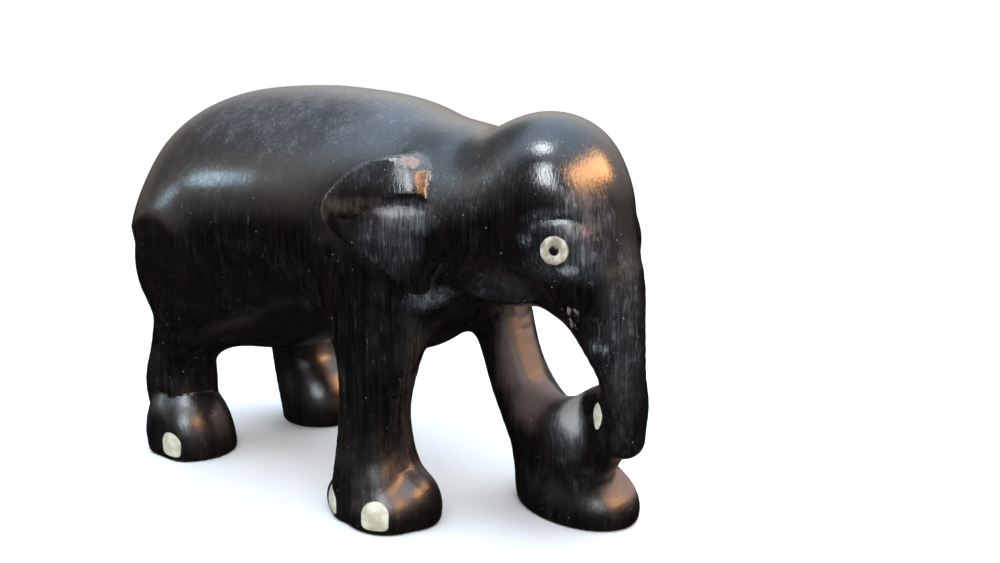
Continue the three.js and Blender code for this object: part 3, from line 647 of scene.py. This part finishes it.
def hardwood(look):
    """Near-black waxed wood: upright grain, brown where it is rubbed, a dusty bloom, fine scratches, with
    painted warm sheen on the fore legs and the far toe and a painted pale reflection on the web.
    """
    material, t, shader = new_material("ebony")
    place = t.node("ShaderNodeTexCoord").outputs["Object"]
    xyz = t.node("ShaderNodeSeparateXYZ", {0: place})
    facing = t.node("ShaderNodeSeparateXYZ", {0: t.node("ShaderNodeNewGeometry").outputs["Normal"]})
    mark = {
        name: t.node("ShaderNodeAttribute", attribute_name=name).outputs["Fac"]
        for name in ("bend", "rubbed", "haze_and_sheen", "chalk_and_sheen", "raw")
    }

    def lines(turn, across, along):
        stretch = {"Vector": place, "Rotation": (0, turn, 0), "Scale": (across, across, along)}
        return t.node("ShaderNodeMapping", stretch).outputs[0]

    grain = t.noise(lines(0, 1500, 90), 1, 3, 0.6)
    hair = t.noise(lines(0.12, 3600, 150), 1, 2, 0.6)
    slant = t.noise(lines(-0.75, 3200, 170), 1, 2, 0.6)
    blotch = t.noise(place, 95, 4)
    patch = t.noise(place, 330, 5, 0.7)

    def swing(value, amount):
        return t.math("MULTIPLY", t.math("SUBTRACT", value, 0.5), amount)

    # Where the polish is rubbed off: marked places, sharp edges and the low parts of the legs, with painted
    # warm sheen in the marked places on the fore legs and the far toe
    edge = t.math("MULTIPLY", t.ramp(mark["bend"], 0.16, 0.5), 0.35)
    low = t.math("MULTIPLY", t.ramp(xyz.outputs["Z"], 0.03, 0.008), 0.1)
    rubbed = t.math("ADD", mark["rubbed"], t.math("ADD", edge, low))
    ragged = t.math("ADD", t.math("ADD", swing(patch, 1.3), swing(grain, 1.1)), rubbed)
    worn_and_sheen = t.math("MULTIPLY", t.ramp(ragged, -0.1, 1.1), rubbed, clamp=True)

    # Bloom of dust and old wax: marked places and hollows, broken up by hairlines; the marked place on the
    # web is a painted pale reflection
    hollow = t.math("MULTIPLY", t.ramp(mark["bend"], -0.12, -0.5), 0.3)
    up = t.math("MULTIPLY", t.ramp(facing.outputs["Z"], 0.2, 0.95), 0.12)
    dusty_and_sheen = t.math("ADD", mark["haze_and_sheen"], t.math("ADD", hollow, up))
    on_back = t.ramp(xyz.outputs["X"], 0.012, 0.002)
    slanting = t.math("MULTIPLY", t.ramp(xyz.outputs["Z"], 0.047, 0.055), on_back)
    hairs = t.math("ADD", hair, t.math("MULTIPLY", slanting, t.math("SUBTRACT", slant, hair)))
    broken = t.math("ADD", swing(hairs, 1.8), t.math("ADD", swing(patch, 1.2), swing(blotch, 1.4)))
    dust = t.math("MULTIPLY", dusty_and_sheen, t.ramp(t.math("ADD", broken, 0.5), -0.3, 1.3), clamp=True)
    scratch = t.math("MULTIPLY", t.ramp(hairs, 0.58, 0.76), t.ramp(patch, 0.4, 0.65))
    scratch = t.math("MULTIPLY", scratch, t.math("MULTIPLY_ADD", dusty_and_sheen, 0.9, 0.12), clamp=True)

    # Long fine scratches, where two stretched noises cross their middle
    def thread(turn, across, along):
        value = t.noise(lines(turn, across, along), 1, 1, 0.5)
        return t.ramp(t.math("ABSOLUTE", t.math("SUBTRACT", value, 0.5)), 0.022, 0.004)

    threads = t.math("MAXIMUM", thread(-0.8, 700, 13), thread(0.3, 820, 15))
    threads = t.math("MULTIPLY", threads, t.ramp(patch, 0.46, 0.6))
    threads = t.math("MULTIPLY", threads, t.math("MULTIPLY_ADD", dusty_and_sheen, 1.0, 0.05), clamp=True)

    # Pale specks: a few small cells of a scatter
    cells = t.node("ShaderNodeTexVoronoi", {"Vector": place, "Scale": 1150.0})
    chance = t.node("ShaderNodeSeparateColor", {0: cells.outputs["Color"]}).outputs[0]
    inside = t.math("LESS_THAN", cells.outputs["Distance"], 0.1)
    speck = t.math("MULTIPLY", inside, t.math("GREATER_THAN", chance, 0.9))

    # Pale dust in the carving, and a painted pale reflection on the web
    chalk_and_sheen = t.math("MULTIPLY", mark["chalk_and_sheen"], t.ramp(t.math("ADD", broken, mark["chalk_and_sheen"]), 0.0, 1.0))
    ragged = t.math("ADD", swing(patch, 1.2), swing(grain, 2.0))
    raw = t.ramp(t.math("ADD", ragged, mark["raw"]), 0.45, 0.9)

    dark, light = tuple(look.wood_dark) + (1,), tuple(look.wood_light) + (1,)
    base = colour_mix(t, t.ramp(grain, 0.3, 0.75), dark, light)
    layers = (
        (worn_and_sheen, look.wood_worn_and_sheen), (dust, look.dust), (scratch, look.scratch), (threads, look.scratch),
        (t.math("MULTIPLY", speck, 0.6), look.speck), (chalk_and_sheen, look.chalk_and_sheen), (raw, look.raw),
    )
    for share, tint in layers:
        base = colour_mix(t, share, base, tuple(tint) + (1,))
    t.feed(shader.inputs["Base Color"], base)

    rough = 0.14
    feet = t.ramp(xyz.outputs["Z"], 0.034, 0.01)
    for share, amount in ((dust, 0.3), (worn_and_sheen, 0.4), (feet, 0.12), (patch, 0.1), (raw, 0.4)):
        rough = t.math("MULTIPLY_ADD", share, amount, rough)
    t.feed(shader.inputs["Roughness"], rough)
    shader.inputs["IOR"].default_value = 1.52

    height = t.math("ADD", t.math("MULTIPLY", hairs, 0.8), t.math("MULTIPLY", patch, 0.12))
    height = t.math("MULTIPLY_ADD", raw, -0.8, t.math("MULTIPLY_ADD", grain, 0.4, height))
    bump = t.node("ShaderNodeBump", {"Height": height, "Strength": 0.35, "Distance": 0.00012})
    t.feed(shader.inputs["Normal"], bump.outputs[0])
    return material


def bone(look, name, stain):
    """Cream bone: faint cloudy bands, slightly see-into, stained by handling; the full grey-brown on the eye
    discs also paints the shade the eyes sit in.
    """
    material, t, shader = new_material(name)
    place = t.node("ShaderNodeTexCoord").outputs["Object"]
    cloud = t.noise(place, 500, 3)
    speck = t.noise(place, 2600, 2)
    base = colour_mix(t, t.ramp(cloud, 0.35, 0.7), tuple(look.bone) + (1,), tuple(look.bone_deep) + (1,))
    base = colour_mix(t, t.ramp(speck, 0.66, 0.76), base, tuple(look.bone_pore) + (1,))
    # Grey-brown stain; at full strength on the eye discs it also paints the shade the eyes sit in
    stained = t.math("MULTIPLY", t.ramp(cloud, 0.25, 0.6), stain, clamp=True)
    base = colour_mix(t, stained, base, tuple(look.bone_stain_and_eye_shade) + (1,))
    t.feed(shader.inputs["Base Color"], base)
    t.feed(shader.inputs["Roughness"], t.math("ADD", 0.34, t.math("MULTIPLY", speck, 0.2)))
    shader.inputs["Subsurface Weight"].default_value = 0.15
    shader.inputs["Subsurface Scale"].default_value = 0.0006
    return material


def black_peg(look):
    """Black wood of the pegs, polished, with faint flecks."""
    material, t, shader = new_material("black_peg")
    place = t.node("ShaderNodeTexCoord").outputs["Object"]
    fleck = t.noise(place, 2200, 2)
    base = colour_mix(t, fleck, tuple(look.wood_dark) + (1,), tuple(look.wood_light) + (1,))
    t.feed(shader.inputs["Base Color"], base)
    shader.inputs["Roughness"].default_value = 0.3
    return material


# What a user may set


def length(name, description, value):
    return bpy.props.FloatProperty(
        name=name, description=description, default=value, min=0, unit="LENGTH", precision=5,
    )


class ElephantSizes(bpy.types.PropertyGroup):
    fineness: bpy.props.FloatProperty(
        name="Mesh step", description="Grid step of the carved mesh, in parts of the height",
        default=0.53, min=0.4,
    )
    gap: length("Glue line", "Gap that shows round each inlay", 0.00004)
    eye_diameter: length("Eye", "Eye disc, across", 0.004)
    eye_thickness: length("Eye depth", "Eye disc, thick", 0.0016)
    eye_proud: length("Eye stands out", "How far the disc stands out of the wood", 0.00015)
    eye_flats: bpy.props.IntProperty(
        name="Eye flats", description="Flats filed round the disc", default=9, min=3,
    )
    pupil_diameter: length("Pupil", "Pupil peg, across", 0.0013)
    pupil_length: length("Pupil length", "Pupil peg, long", 0.0011)
    pupil_proud: length("Pupil stands out", "How far the peg stands out of the disc", 0.0001)
    nail_width: length("Nail width", "Toenail, across", 0.0045)
    nail_height: length("Nail height", "Toenail, high", 0.0044)
    nail_depth: length("Nail depth", "Toenail, thick", 0.0016)
    nail_lift: length("Nail lift", "Sole to the middle of a toenail", 0.00305)
    nail_squareness: bpy.props.FloatProperty(
        name="Nail squareness", description="Power of the nail's lower half; an oval has 2",
        default=5, min=2,
    )
    oval_width: length("Oval width", "Oval on the web, across", 0.0021)
    oval_height: length("Oval height", "Oval on the web, high", 0.004)
    oval_depth: length("Oval depth", "Oval on the web, thick", 0.0009)
    softened: length("Softened edge", "Rounding of an inlay's edge", 0.00012)


def colour(name, description, value):
    return bpy.props.FloatVectorProperty(
        name=name, description=description, default=value, subtype="COLOR", min=0, max=1,
    )


class ElephantLook(bpy.types.PropertyGroup):
    wood_dark: colour("Wood, dark", "Darkest grain of the wood", (0.0014, 0.0011, 0.0011))
    wood_light: colour("Wood, light", "Lightest grain of the wood", (0.0075, 0.0046, 0.0044))
    # Also the colour of the painted warm sheen on the fore legs and the far toe
    wood_worn_and_sheen: colour("Wood, worn", "Brown where the polish is rubbed off", (0.13, 0.085, 0.066))
    # Also the colour of the painted pale reflection on the web
    dust: colour("Dust", "Grey bloom of dust and old wax", (0.085, 0.09, 0.102))
    scratch: colour("Scratches", "Fine light scratches", (0.16, 0.16, 0.165))
    speck: colour("Specks", "Pale specks of dust", (0.42, 0.42, 0.42))
    # Also the colour of the painted pale reflection on the web
    chalk_and_sheen: colour("Chalk", "Pale dust caught in the carving", (0.46, 0.46, 0.44))
    raw: colour("Raw wood", "Broken wood at the mouth's rim and the ear's chip", (0.24, 0.19, 0.165))
    bone: colour("Bone", "Cream of the inlays", (0.74, 0.71, 0.56))
    bone_deep: colour("Bone, deep", "Darker clouds in the bone", (0.52, 0.47, 0.33))
    bone_pore: colour("Bone, pores", "Pores in the bone", (0.30, 0.25, 0.17))
    # On the eye discs this grey-brown also paints the shade the eyes sit in
    bone_stain_and_eye_shade: colour("Bone, stain", "Grey-brown stain on the eyes", (0.27, 0.21, 0.155))
    floor: colour("Floor", "Pale floor", (0.97, 0.93, 0.91))


class ElephantStage(bpy.types.PropertyGroup):
    focal_length: bpy.props.FloatProperty(
        name="Lens", description="Focal length", default=43.2, unit="CAMERA",
    )
    camera_place: bpy.props.FloatVectorProperty(
        name="Camera", description="Place of the camera",
        default=(0.1418, -0.1344, 0.0746), subtype="TRANSLATION",
    )
    camera_down: bpy.props.FloatProperty(
        name="Pitch", description="How far the camera looks down",
        default=math.radians(12), subtype="ANGLE",
    )
    camera_turn: bpy.props.FloatProperty(
        name="Turn", description="Heading of the camera, from +Y",
        default=math.radians(40.55), subtype="ANGLE",
    )
    floor_radius: length("Floor", "Radius of the floor and of the backdrop", 8)
    near_radius: length("Near floor", "The floor takes shadows out to here", 0.11)
    far_radius: length("Far floor", "From here on the floor is as white as the backdrop", 0.32)


# The carving, made once and read by the wood and by its inlays

CARVING = {}
TO_ROW = {}


def carving():
    """The carving, made once on first use."""
    if not CARVING:
        CARVING["form"] = carved()
    return CARVING["form"]


def inlay_seats(sizes):
    """Name, place and outward direction, in parts, and width, height and depth in metres of each inlay."""
    c = carving()
    seats = []
    for name, side in SIDES:
        place = c.meet([[EYE_PLACE[0], side * 30, EYE_PLACE[1]]], [[0, -side, 0]])
        size = (sizes.eye_diameter, sizes.eye_diameter, sizes.eye_thickness - sizes.eye_proud)
        seats.append((f"eye_{name}", place[0], c.slope(place)[0], size))
    for name, foot, side, bearing in NAILS:
        turn = math.radians(bearing)
        way = np.array([math.cos(turn), side * math.sin(turn), 0])
        start = np.array([foot[0] + 20 * way[0], foot[1] + 20 * way[1], sizes.nail_lift / PART])
        place = c.meet([start], [-way])
        out = c.slope(place)[0] * [1, 1, 0]
        size = (sizes.nail_width, sizes.nail_height, sizes.nail_depth)
        seats.append((f"nail_{name}", place[0], out / np.linalg.norm(out), size))
    faces = np.array(OVAL_FACES)
    place = c.meet([np.array(OVAL_PLACE) + 20 * faces], [-faces])
    size = (sizes.oval_width, sizes.oval_height, sizes.oval_depth)
    seats.append(("oval_web", place[0], c.slope(place)[0], size))
    return seats


def to_row(points):
    """Parts in the carving's frame to metres in the row's frame."""
    return np.asarray(points) * PART + TO_ROW["shift"]


def finished(piece, material, slot, *nodes):
    """Gives a piece its finish and its body, and lets it stand for its CAD nodes."""
    piece.data.materials.clear()
    piece.data.materials.append(material)
    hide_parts(*nodes)
    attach(piece, "root")


def shade(mesh, c):
    """Smooth skin with the carving's own directions, and crisp pocket walls."""
    mesh.shade_smooth()
    parts = (points_of(mesh) - TO_ROW["shift"]) / PART
    edges = np.empty(len(mesh.edges) * 2, np.int32)
    mesh.edges.foreach_get("vertices", edges)
    slope = polish(c.slope(parts, 0.2), edges.reshape(-1, 2), 5)
    faces = np.empty(len(mesh.polygons) * 3, np.float32)
    mesh.polygons.foreach_get("normal", faces)
    faces = faces.reshape(-1, 3)
    corner = np.empty(len(mesh.loops), np.int32)
    mesh.loops.foreach_get("vertex_index", corner)
    count = np.empty(len(mesh.polygons), np.int32)
    mesh.polygons.foreach_get("loop_total", count)
    owner = np.repeat(np.arange(len(count)), count)
    skin = (slope[corner] * faces[owner]).sum(1) > 0.8
    normals = np.where(skin[:, None], slope[corner], faces[owner])
    mesh.normals_split_custom_set([tuple(n) for n in normals])
    store(mesh, "bend", bend_of(c, parts, slope, 1.3))
    # Marks per point; the rubbed marks include painted warm sheen, and the haze and chalk marks a painted
    # pale reflection on the web
    for name, marks in (("rubbed", WEAR_AND_SHEEN), ("haze_and_sheen", HAZE_AND_SHEEN), ("chalk_and_sheen", CHALK_AND_SHEEN), ("raw", RAW)):
        store(mesh, name, marked(parts, marks))


def store(mesh, name, values, kind="FLOAT"):
    attribute = mesh.attributes.new(name, kind, "POINT")
    values = np.asarray(values, np.float32).ravel()
    attribute.data.foreach_set("value" if kind == "FLOAT" else "vector", values)


def marked(parts, marks):
    """How strongly each point is marked by a list of soft-edged eggs."""
    total = np.zeros(len(parts))
    for middle, radii, strength in marks:
        away = np.linalg.norm((parts - middle) / radii, axis=1)
        total = np.maximum(total, strength * np.clip((1.35 - away) / 0.7, 0, 1))
    return total


def solid_plugs(sizes):
    """One mesh of the pockets' cutters, wider than the inlays by the glue line."""
    points, faces, start = [], [], 0
    for name, place, out, (width, height, depth) in inlay_seats(sizes):
        squareness = sizes.nail_squareness if name.startswith("nail") else OVAL
        top, bottom = CUTTER_RISE, -depth - sizes.gap
        profile = [(0, top), (1, top), (1, bottom), (0, bottom)]
        p, f = turned(profile, outline_ring(INLAY_SIDES, squareness))
        p = p * [width / 2 + sizes.gap, height / 2 + sizes.gap, 1]
        points.append(seated(p, to_row(place), out))
        faces.append(f + start)
        start += len(p)
    return mesh_of("pockets", np.vstack(points), np.vstack(faces))


# Letting in: a node tree sets a blank at each seat and draws its face onto the wood

ON_WALL = -1.0  # the crown of points that stay where they are
RAY_REACH = 0.002  # how far off its seat a point looks for the wood
SHARP_ANGLE = math.radians(40)


def let_in_tree():
    """The tree: a blank at each seat, turned outward and upright, its face drawn onto the wood."""
    tree = bpy.data.node_groups.new("let in", "GeometryNodeTree")
    for name, kind in (
        ("Seats", "Geometry"), ("Blank", "Object"), ("Wood", "Object"),
        ("Crown", "Float"), ("Reach", "Float"), ("Material", "Material"),
    ):
        tree.interface.new_socket(name, in_out="INPUT", socket_type="NodeSocket" + kind)
    tree.interface.new_socket("Inlays", in_out="OUTPUT", socket_type="NodeSocketGeometry")
    t = Tree(tree)
    given = t.node("NodeGroupInput").outputs

    def named(name, kind):
        return t.node("GeometryNodeInputNamedAttribute", {"Name": name}, data_type=kind).outputs[0]

    def sum_of(a, b):
        return t.node("ShaderNodeVectorMath", {0: a, 1: b}, operation="ADD").outputs[0]

    def scaled(a, factor):
        return t.node("ShaderNodeVectorMath", {0: a, "Scale": factor}, operation="SCALE").outputs[0]

    out, size = named("out", "FLOAT_VECTOR"), named("size", "FLOAT_VECTOR")
    crown = named("crown", "FLOAT")
    blank = t.node("GeometryNodeObjectInfo", {"Object": given["Blank"]}).outputs["Geometry"]
    wood = t.node("GeometryNodeObjectInfo", {"Object": given["Wood"]}).outputs["Geometry"]
    facing = t.node("FunctionNodeAlignRotationToVector", {"Vector": out}, axis="Z").outputs[0]
    upright = t.node(
        "FunctionNodeAlignRotationToVector", {"Rotation": facing, "Vector": (0, 0, 1)},
        axis="Y", pivot_axis="Z",
    ).outputs[0]
    placed = t.node(
        "GeometryNodeInstanceOnPoints",
        {"Points": given["Seats"], "Instance": blank, "Rotation": upright, "Scale": size},
    ).outputs[0]
    solid = t.node("GeometryNodeRealizeInstances", {0: placed}).outputs[0]
    place = t.node("GeometryNodeInputPosition").outputs[0]
    ray = t.node(
        "GeometryNodeRaycast",
        {
            "Target Geometry": wood, "Source Position": sum_of(place, scaled(out, given["Reach"])),
            "Ray Direction": scaled(out, -1.0), "Ray Length": t.math("MULTIPLY", given["Reach"], 2),
        },
    )
    on_face = t.math("MULTIPLY", ray.outputs["Is Hit"], t.math("GREATER_THAN", crown, ON_WALL / 2))
    lift = scaled(out, t.math("MULTIPLY", crown, given["Crown"]))
    face = sum_of(ray.outputs["Hit Position"], lift)
    drawn = t.node(
        "GeometryNodeSetPosition", {"Geometry": solid, "Selection": on_face, "Position": face},
    ).outputs[0]
    covered = t.node(
        "GeometryNodeSetMaterial", {"Geometry": drawn, "Material": given["Material"]},
    ).outputs[0]
    t.node("NodeGroupOutput", {0: covered})
    return tree


def let_in(context, name, seats, blank, crown, wood, material):
    """A plain mesh of one blank at each seat (place in metres, outward direction, scale)."""
    places = np.array([place for place, _, _ in seats])
    holder = added(name, mesh_of(name + "_seats", places, np.empty((0, 3), int)))
    store(holder.data, "out", [out for _, out, _ in seats], "FLOAT_VECTOR")
    store(holder.data, "size", [size for _, _, size in seats], "FLOAT_VECTOR")
    form = added(name + "_blank", mesh_of(name + "_blank", *blank))
    store(form.data, "crown", crown)
    modifier = holder.modifiers.new("let in", "NODES")
    modifier.node_group = bpy.data.node_groups.get("let in") or let_in_tree()
    values = {"Blank": form, "Wood": wood, "Crown": 1.0, "Reach": RAY_REACH, "Material": material}
    for item in modifier.node_group.interface.items_tree:
        if item.in_out == "INPUT" and item.name in values:
            modifier[item.identifier] = values[item.name]
    mesh = bpy.data.meshes.new_from_object(holder.evaluated_get(context.evaluated_depsgraph_get()))
    if not mesh.polygons:
        raise RuntimeError(f"nothing was let in for {name}")
    bpy.data.objects.remove(form)
    bpy.data.objects.remove(holder)
    mesh.name = name
    mesh.shade_smooth()
    mesh.set_sharp_from_angle(angle=SHARP_ANGLE)
    return added(name, mesh)


class ELEPHANT_OT_wood(bpy.types.Operator):
    """Carve the elephant's wood, with a pocket for each inlay"""

    bl_idname = "elephant.wood"
    bl_label = "Carve the wood"

    def execute(self, context):
        sizes = context.scene.elephant_sizes
        c = carving()
        step = sizes.fineness
        distance = grid_distance(c, GRID_LOW, GRID_HIGH, step)
        points, quads = surface_nets(distance, GRID_LOW, step)
        points = even_out(settle(c, points), quads, 2)
        points = settle(c, points)
        low_corner, high_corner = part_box("elephant")
        middle = (np.array(low_corner) + np.array(high_corner)) / 2
        own = (points.min(0) + points.max(0)) / 2 * PART
        TO_ROW["shift"] = np.array([middle[0] - own[0], middle[1] - own[1], 0])
        block = added("block", mesh_of("block", to_row(points), quads))
        cutter = added("cutter", solid_plugs(sizes))
        boolean = block.modifiers.new("pockets", "BOOLEAN")
        boolean.operation = "DIFFERENCE"
        boolean.solver = "EXACT"
        boolean.object = cutter
        graph = context.evaluated_depsgraph_get()
        carved_mesh = bpy.data.meshes.new_from_object(block.evaluated_get(graph))
        bpy.data.objects.remove(cutter)
        block.modifiers.clear()
        carved_mesh.name = "wood"
        wood = added("carved_wood", carved_mesh)
        shade(carved_mesh, c)
        finished(wood, hardwood(context.scene.elephant_look), "ebony", "elephant")
        return {"FINISHED"}


class ELEPHANT_OT_inlays(bpy.types.Operator):
    """Let the bone eyes, the black pupils, the toenails and the oval into their pockets"""

    bl_idname = "elephant.inlays"
    bl_label = "Let in the bone"

    def execute(self, context):
        scene = context.scene
        sizes, look = scene.elephant_sizes, scene.elephant_look
        # The eye discs' bone takes the full grey-brown: a stain with painted shade of the eyes
        cream, stained, black = bone(look, "bone", 0.1), bone(look, "bone_stained_and_shaded", 1.0), black_peg(look)
        block = bpy.data.objects["block"]
        seats = {name: (to_row(place), out, size) for name, place, out, size in inlay_seats(sizes)}
        soft = sizes.softened

        # Toenails and the oval: crowned a little, their edge softened below the wood
        kinds = (("toenails", "nail", sizes.nail_squareness), ("web_oval", "oval", OVAL))
        for name, starts, squareness in kinds:
            names = [node for node in seats if node.startswith(starts)]
            half = []
            for place, out, (width, height, depth) in (seats[node] for node in names):
                half.append((place, out, (width / 2, height / 2, depth)))
            profile = [(share, 0) for share, _ in INLAY_CROWN] + [(1, -1), (0, -1)]
            ring = outline_ring(INLAY_SIDES, squareness)
            crown = np.full(2 + (len(profile) - 2) * len(ring), ON_WALL)
            rises = [rise * soft for _, rise in INLAY_CROWN]
            crown[0] = rises[0]
            crown[1:1 + (len(rises) - 1) * len(ring)] = np.repeat(rises[1:], len(ring))
            piece = let_in(context, name, half, turned(profile, ring), crown, block, cream)
            finished(piece, cream, "bone", *names)

        # Eye discs with a hole, and the pegs in them
        names = ["eye_right", "eye_left"]
        radius, hole = sizes.eye_diameter / 2, sizes.pupil_diameter / 2 + sizes.gap
        deep = sizes.pupil_length - sizes.pupil_proud + sizes.gap
        profile = [
            (0, -deep), (hole, -deep), (hole, -soft / 2), (hole + soft / 2, 0),
            (radius - soft, 0), (radius - soft * 0.3, -soft * 0.3), (radius, -soft),
            (radius, -sizes.eye_thickness), (0, -sizes.eye_thickness),
        ]
        faces = []
        for place, out, _ in (seats[node] for node in names):
            faces.append((place + out * sizes.eye_proud, out, (1, 1, 1)))
        blank = turned(profile, filed_ring(90, sizes.eye_flats, 0.6))
        piece = let_in(context, "eye_discs", faces, blank, np.full(len(blank[0]), ON_WALL), block, stained)
        finished(piece, stained, "bone", *names)

        radius, top = sizes.pupil_diameter / 2, sizes.pupil_proud
        profile = [
            (0, top), (radius * 0.5, top * 0.95), (radius * 0.85, top * 0.7), (radius, 0),
            (radius, top - sizes.pupil_length), (0, top - sizes.pupil_length),
        ]
        blank = turned(profile, filed_ring(48, 8, 0.3))
        piece = let_in(context, "pupil_pegs", faces, blank, np.full(len(blank[0]), ON_WALL), block, black)
        finished(piece, black, "black_peg", "pupil_right", "pupil_left")
        bpy.data.objects.remove(block)
        return {"FINISHED"}


class ELEPHANT_OT_stage(bpy.types.Operator):
    """Set the camera, the floor and the lights"""

    bl_idname = "elephant.stage"
    bl_label = "Set the stage"

    def execute(self, context):
        scene = context.scene
        stage = scene.elephant_stage
        camera_data = bpy.data.cameras.new("camera")
        camera_data.lens = stage.focal_length
        camera_data.sensor_width = 36
        camera_data.clip_start = 0.01
        camera = bpy.data.objects.new("camera", camera_data)
        camera.location = stage.camera_place
        camera.rotation_euler = (math.pi / 2 - stage.camera_down, 0, stage.camera_turn)
        scene.collection.objects.link(camera)
        scene.camera = camera

        scene.view_settings.view_transform = "Standard"

        self.floor(stage, scene.elephant_look.floor)
        self.backdrop(stage)
        self.world(scene)
        for settings in LIGHTS:
            self.light(scene, *settings)
        return {"FINISHED"}

    def floor(self, stage, tint):
        """A disc that takes soft shadows near the object and passes into the white of the backdrop."""
        radii = [0, 0.05, 0.1, 0.2, 0.4, 1, 3, stage.floor_radius]
        points, faces = turned([(r, 0) for r in radii] + [(0, -0.01)], outline_ring(96, OVAL))
        ground = added("floor", mesh_of("floor", points, faces))
        material, t, shader = new_material("floor")
        shader.inputs["Base Color"].default_value = tuple(tint) + (1,)
        shader.inputs["Roughness"].default_value = 0.9
        shader.inputs["Specular IOR Level"].default_value = 0
        place = t.node("ShaderNodeTexCoord").outputs["Object"]
        away = t.node("ShaderNodeVectorMath", {0: place}, operation="LENGTH").outputs["Value"]
        white = t.node("ShaderNodeEmission", {"Color": (1, 1, 1, 1), "Strength": 1.0})
        far = t.ramp(away, stage.near_radius, stage.far_radius)
        mix = t.node("ShaderNodeMixShader", {0: far, 1: shader.outputs[0], 2: white.outputs[0]})
        t.feed(material.node_tree.nodes["Material Output"].inputs["Surface"], mix.outputs[0])
        ground.data.materials.append(material)
        ground.visible_glossy = False

    def backdrop(self, stage):
        """A white dome that only the camera sees."""
        rise = [math.radians(a) for a in range(90, -1, -15)]
        profile = [(stage.floor_radius * math.cos(a), stage.floor_radius * math.sin(a)) for a in rise]
        points, faces = turned(profile + [(0, -0.02)], outline_ring(48, OVAL))
        dome = added("backdrop", mesh_of("backdrop", points, faces))
        material, t, _ = new_material("backdrop")
        white = t.node("ShaderNodeEmission", {"Color": (1, 1, 1, 1), "Strength": 1.0})
        t.feed(material.node_tree.nodes["Material Output"].inputs["Surface"], white.outputs[0])
        dome.data.materials.append(material)
        dome.visible_diffuse = False
        dome.visible_glossy = False
        dome.visible_transmission = False
        dome.visible_shadow = False

    def world(self, scene):
        """A room brighter toward its ceiling, with dark sides."""
        world = bpy.data.worlds.new("studio")
        world.use_nodes = True
        t = Tree(world.node_tree)
        way = t.node("ShaderNodeTexCoord").outputs["Generated"]
        height = t.node("ShaderNodeSeparateXYZ", {0: way}).outputs["Z"]
        level = t.math("POWER", t.math("MAXIMUM", t.math("MULTIPLY_ADD", height, 0.91, 0.09), 0.0), 1.3)
        for dark_way, start, end, depth in DARK_WAYS:
            product = t.node("ShaderNodeVectorMath", {0: way, 1: dark_way}, operation="DOT_PRODUCT")
            aside = t.ramp(product.outputs["Value"], start, end)
            level = t.math("MULTIPLY", level, t.math("MULTIPLY_ADD", aside, -depth, 1.0))
        tint = colour_mix(t, t.ramp(height, 0.3, 0.95), (1.0, 0.92, 0.85, 1), (0.62, 0.81, 1.0, 1))
        tint = colour_mix(t, t.ramp(height, -0.1, 0.02), (0.6, 0.5, 0.42, 1), tint)
        t.feed(world.node_tree.nodes["Background"].inputs["Color"], tint)
        strength = t.math("MULTIPLY_ADD", level, 4.0, 0.02)
        t.feed(world.node_tree.nodes["Background"].inputs["Strength"], strength)
        scene.world = world

    def light(self, scene, name, azimuth, elevation, away, width, height, power, tint, use):
        data = bpy.data.lights.new(name, "AREA")
        data.shape = "RECTANGLE"
        data.size = width
        data.size_y = height
        data.energy = power
        data.color = tint
        lamp = bpy.data.objects.new(name, data)
        a, e = math.radians(azimuth), math.radians(elevation)
        way = Vector((math.cos(a) * math.cos(e), math.sin(a) * math.cos(e), math.sin(e)))
        lamp.location = Vector(LIGHTS_AIM) + way * away
        lamp.rotation_euler = way.to_track_quat("Z", "Y").to_euler()
        lamp.visible_camera = False
        lamp.visible_diffuse = use == "scatter"
        lamp.visible_glossy = use == "mirror"
        scene.collection.objects.link(lamp)


class ELEPHANT_PT_panel(bpy.types.Panel):
    """The elephant's settings and steps in the sidebar"""

    bl_label = "Carved elephant"
    bl_idname = "ELEPHANT_PT_panel"
    bl_space_type = "VIEW_3D"
    bl_region_type = "UI"
    bl_category = "Elephant"

    def draw(self, context):
        scene = context.scene
        for group in (scene.elephant_sizes, scene.elephant_look, scene.elephant_stage):
            for name in group.__annotations__:
                self.layout.prop(group, name)
        for step in STEPS:
            self.layout.operator(step)


STEPS = ("elephant.wood", "elephant.inlays", "elephant.stage")
CLASSES = (
    ElephantSizes, ElephantLook, ElephantStage,
    ELEPHANT_OT_wood, ELEPHANT_OT_inlays, ELEPHANT_OT_stage, ELEPHANT_PT_panel,
)


def register():
    for cls in CLASSES:
        bpy.utils.register_class(cls)
    bpy.types.Scene.elephant_sizes = bpy.props.PointerProperty(type=ElephantSizes)
    bpy.types.Scene.elephant_look = bpy.props.PointerProperty(type=ElephantLook)
    bpy.types.Scene.elephant_stage = bpy.props.PointerProperty(type=ElephantStage)


def unregister():
    del bpy.types.Scene.elephant_stage
    del bpy.types.Scene.elephant_look
    del bpy.types.Scene.elephant_sizes
    for cls in reversed(CLASSES):
        bpy.utils.unregister_class(cls)


def main():
    register()
    bpy.ops.elephant.wood()
    bpy.ops.elephant.inlays()
    bpy.ops.elephant.stage()


if __name__ == "__main__":
    main()
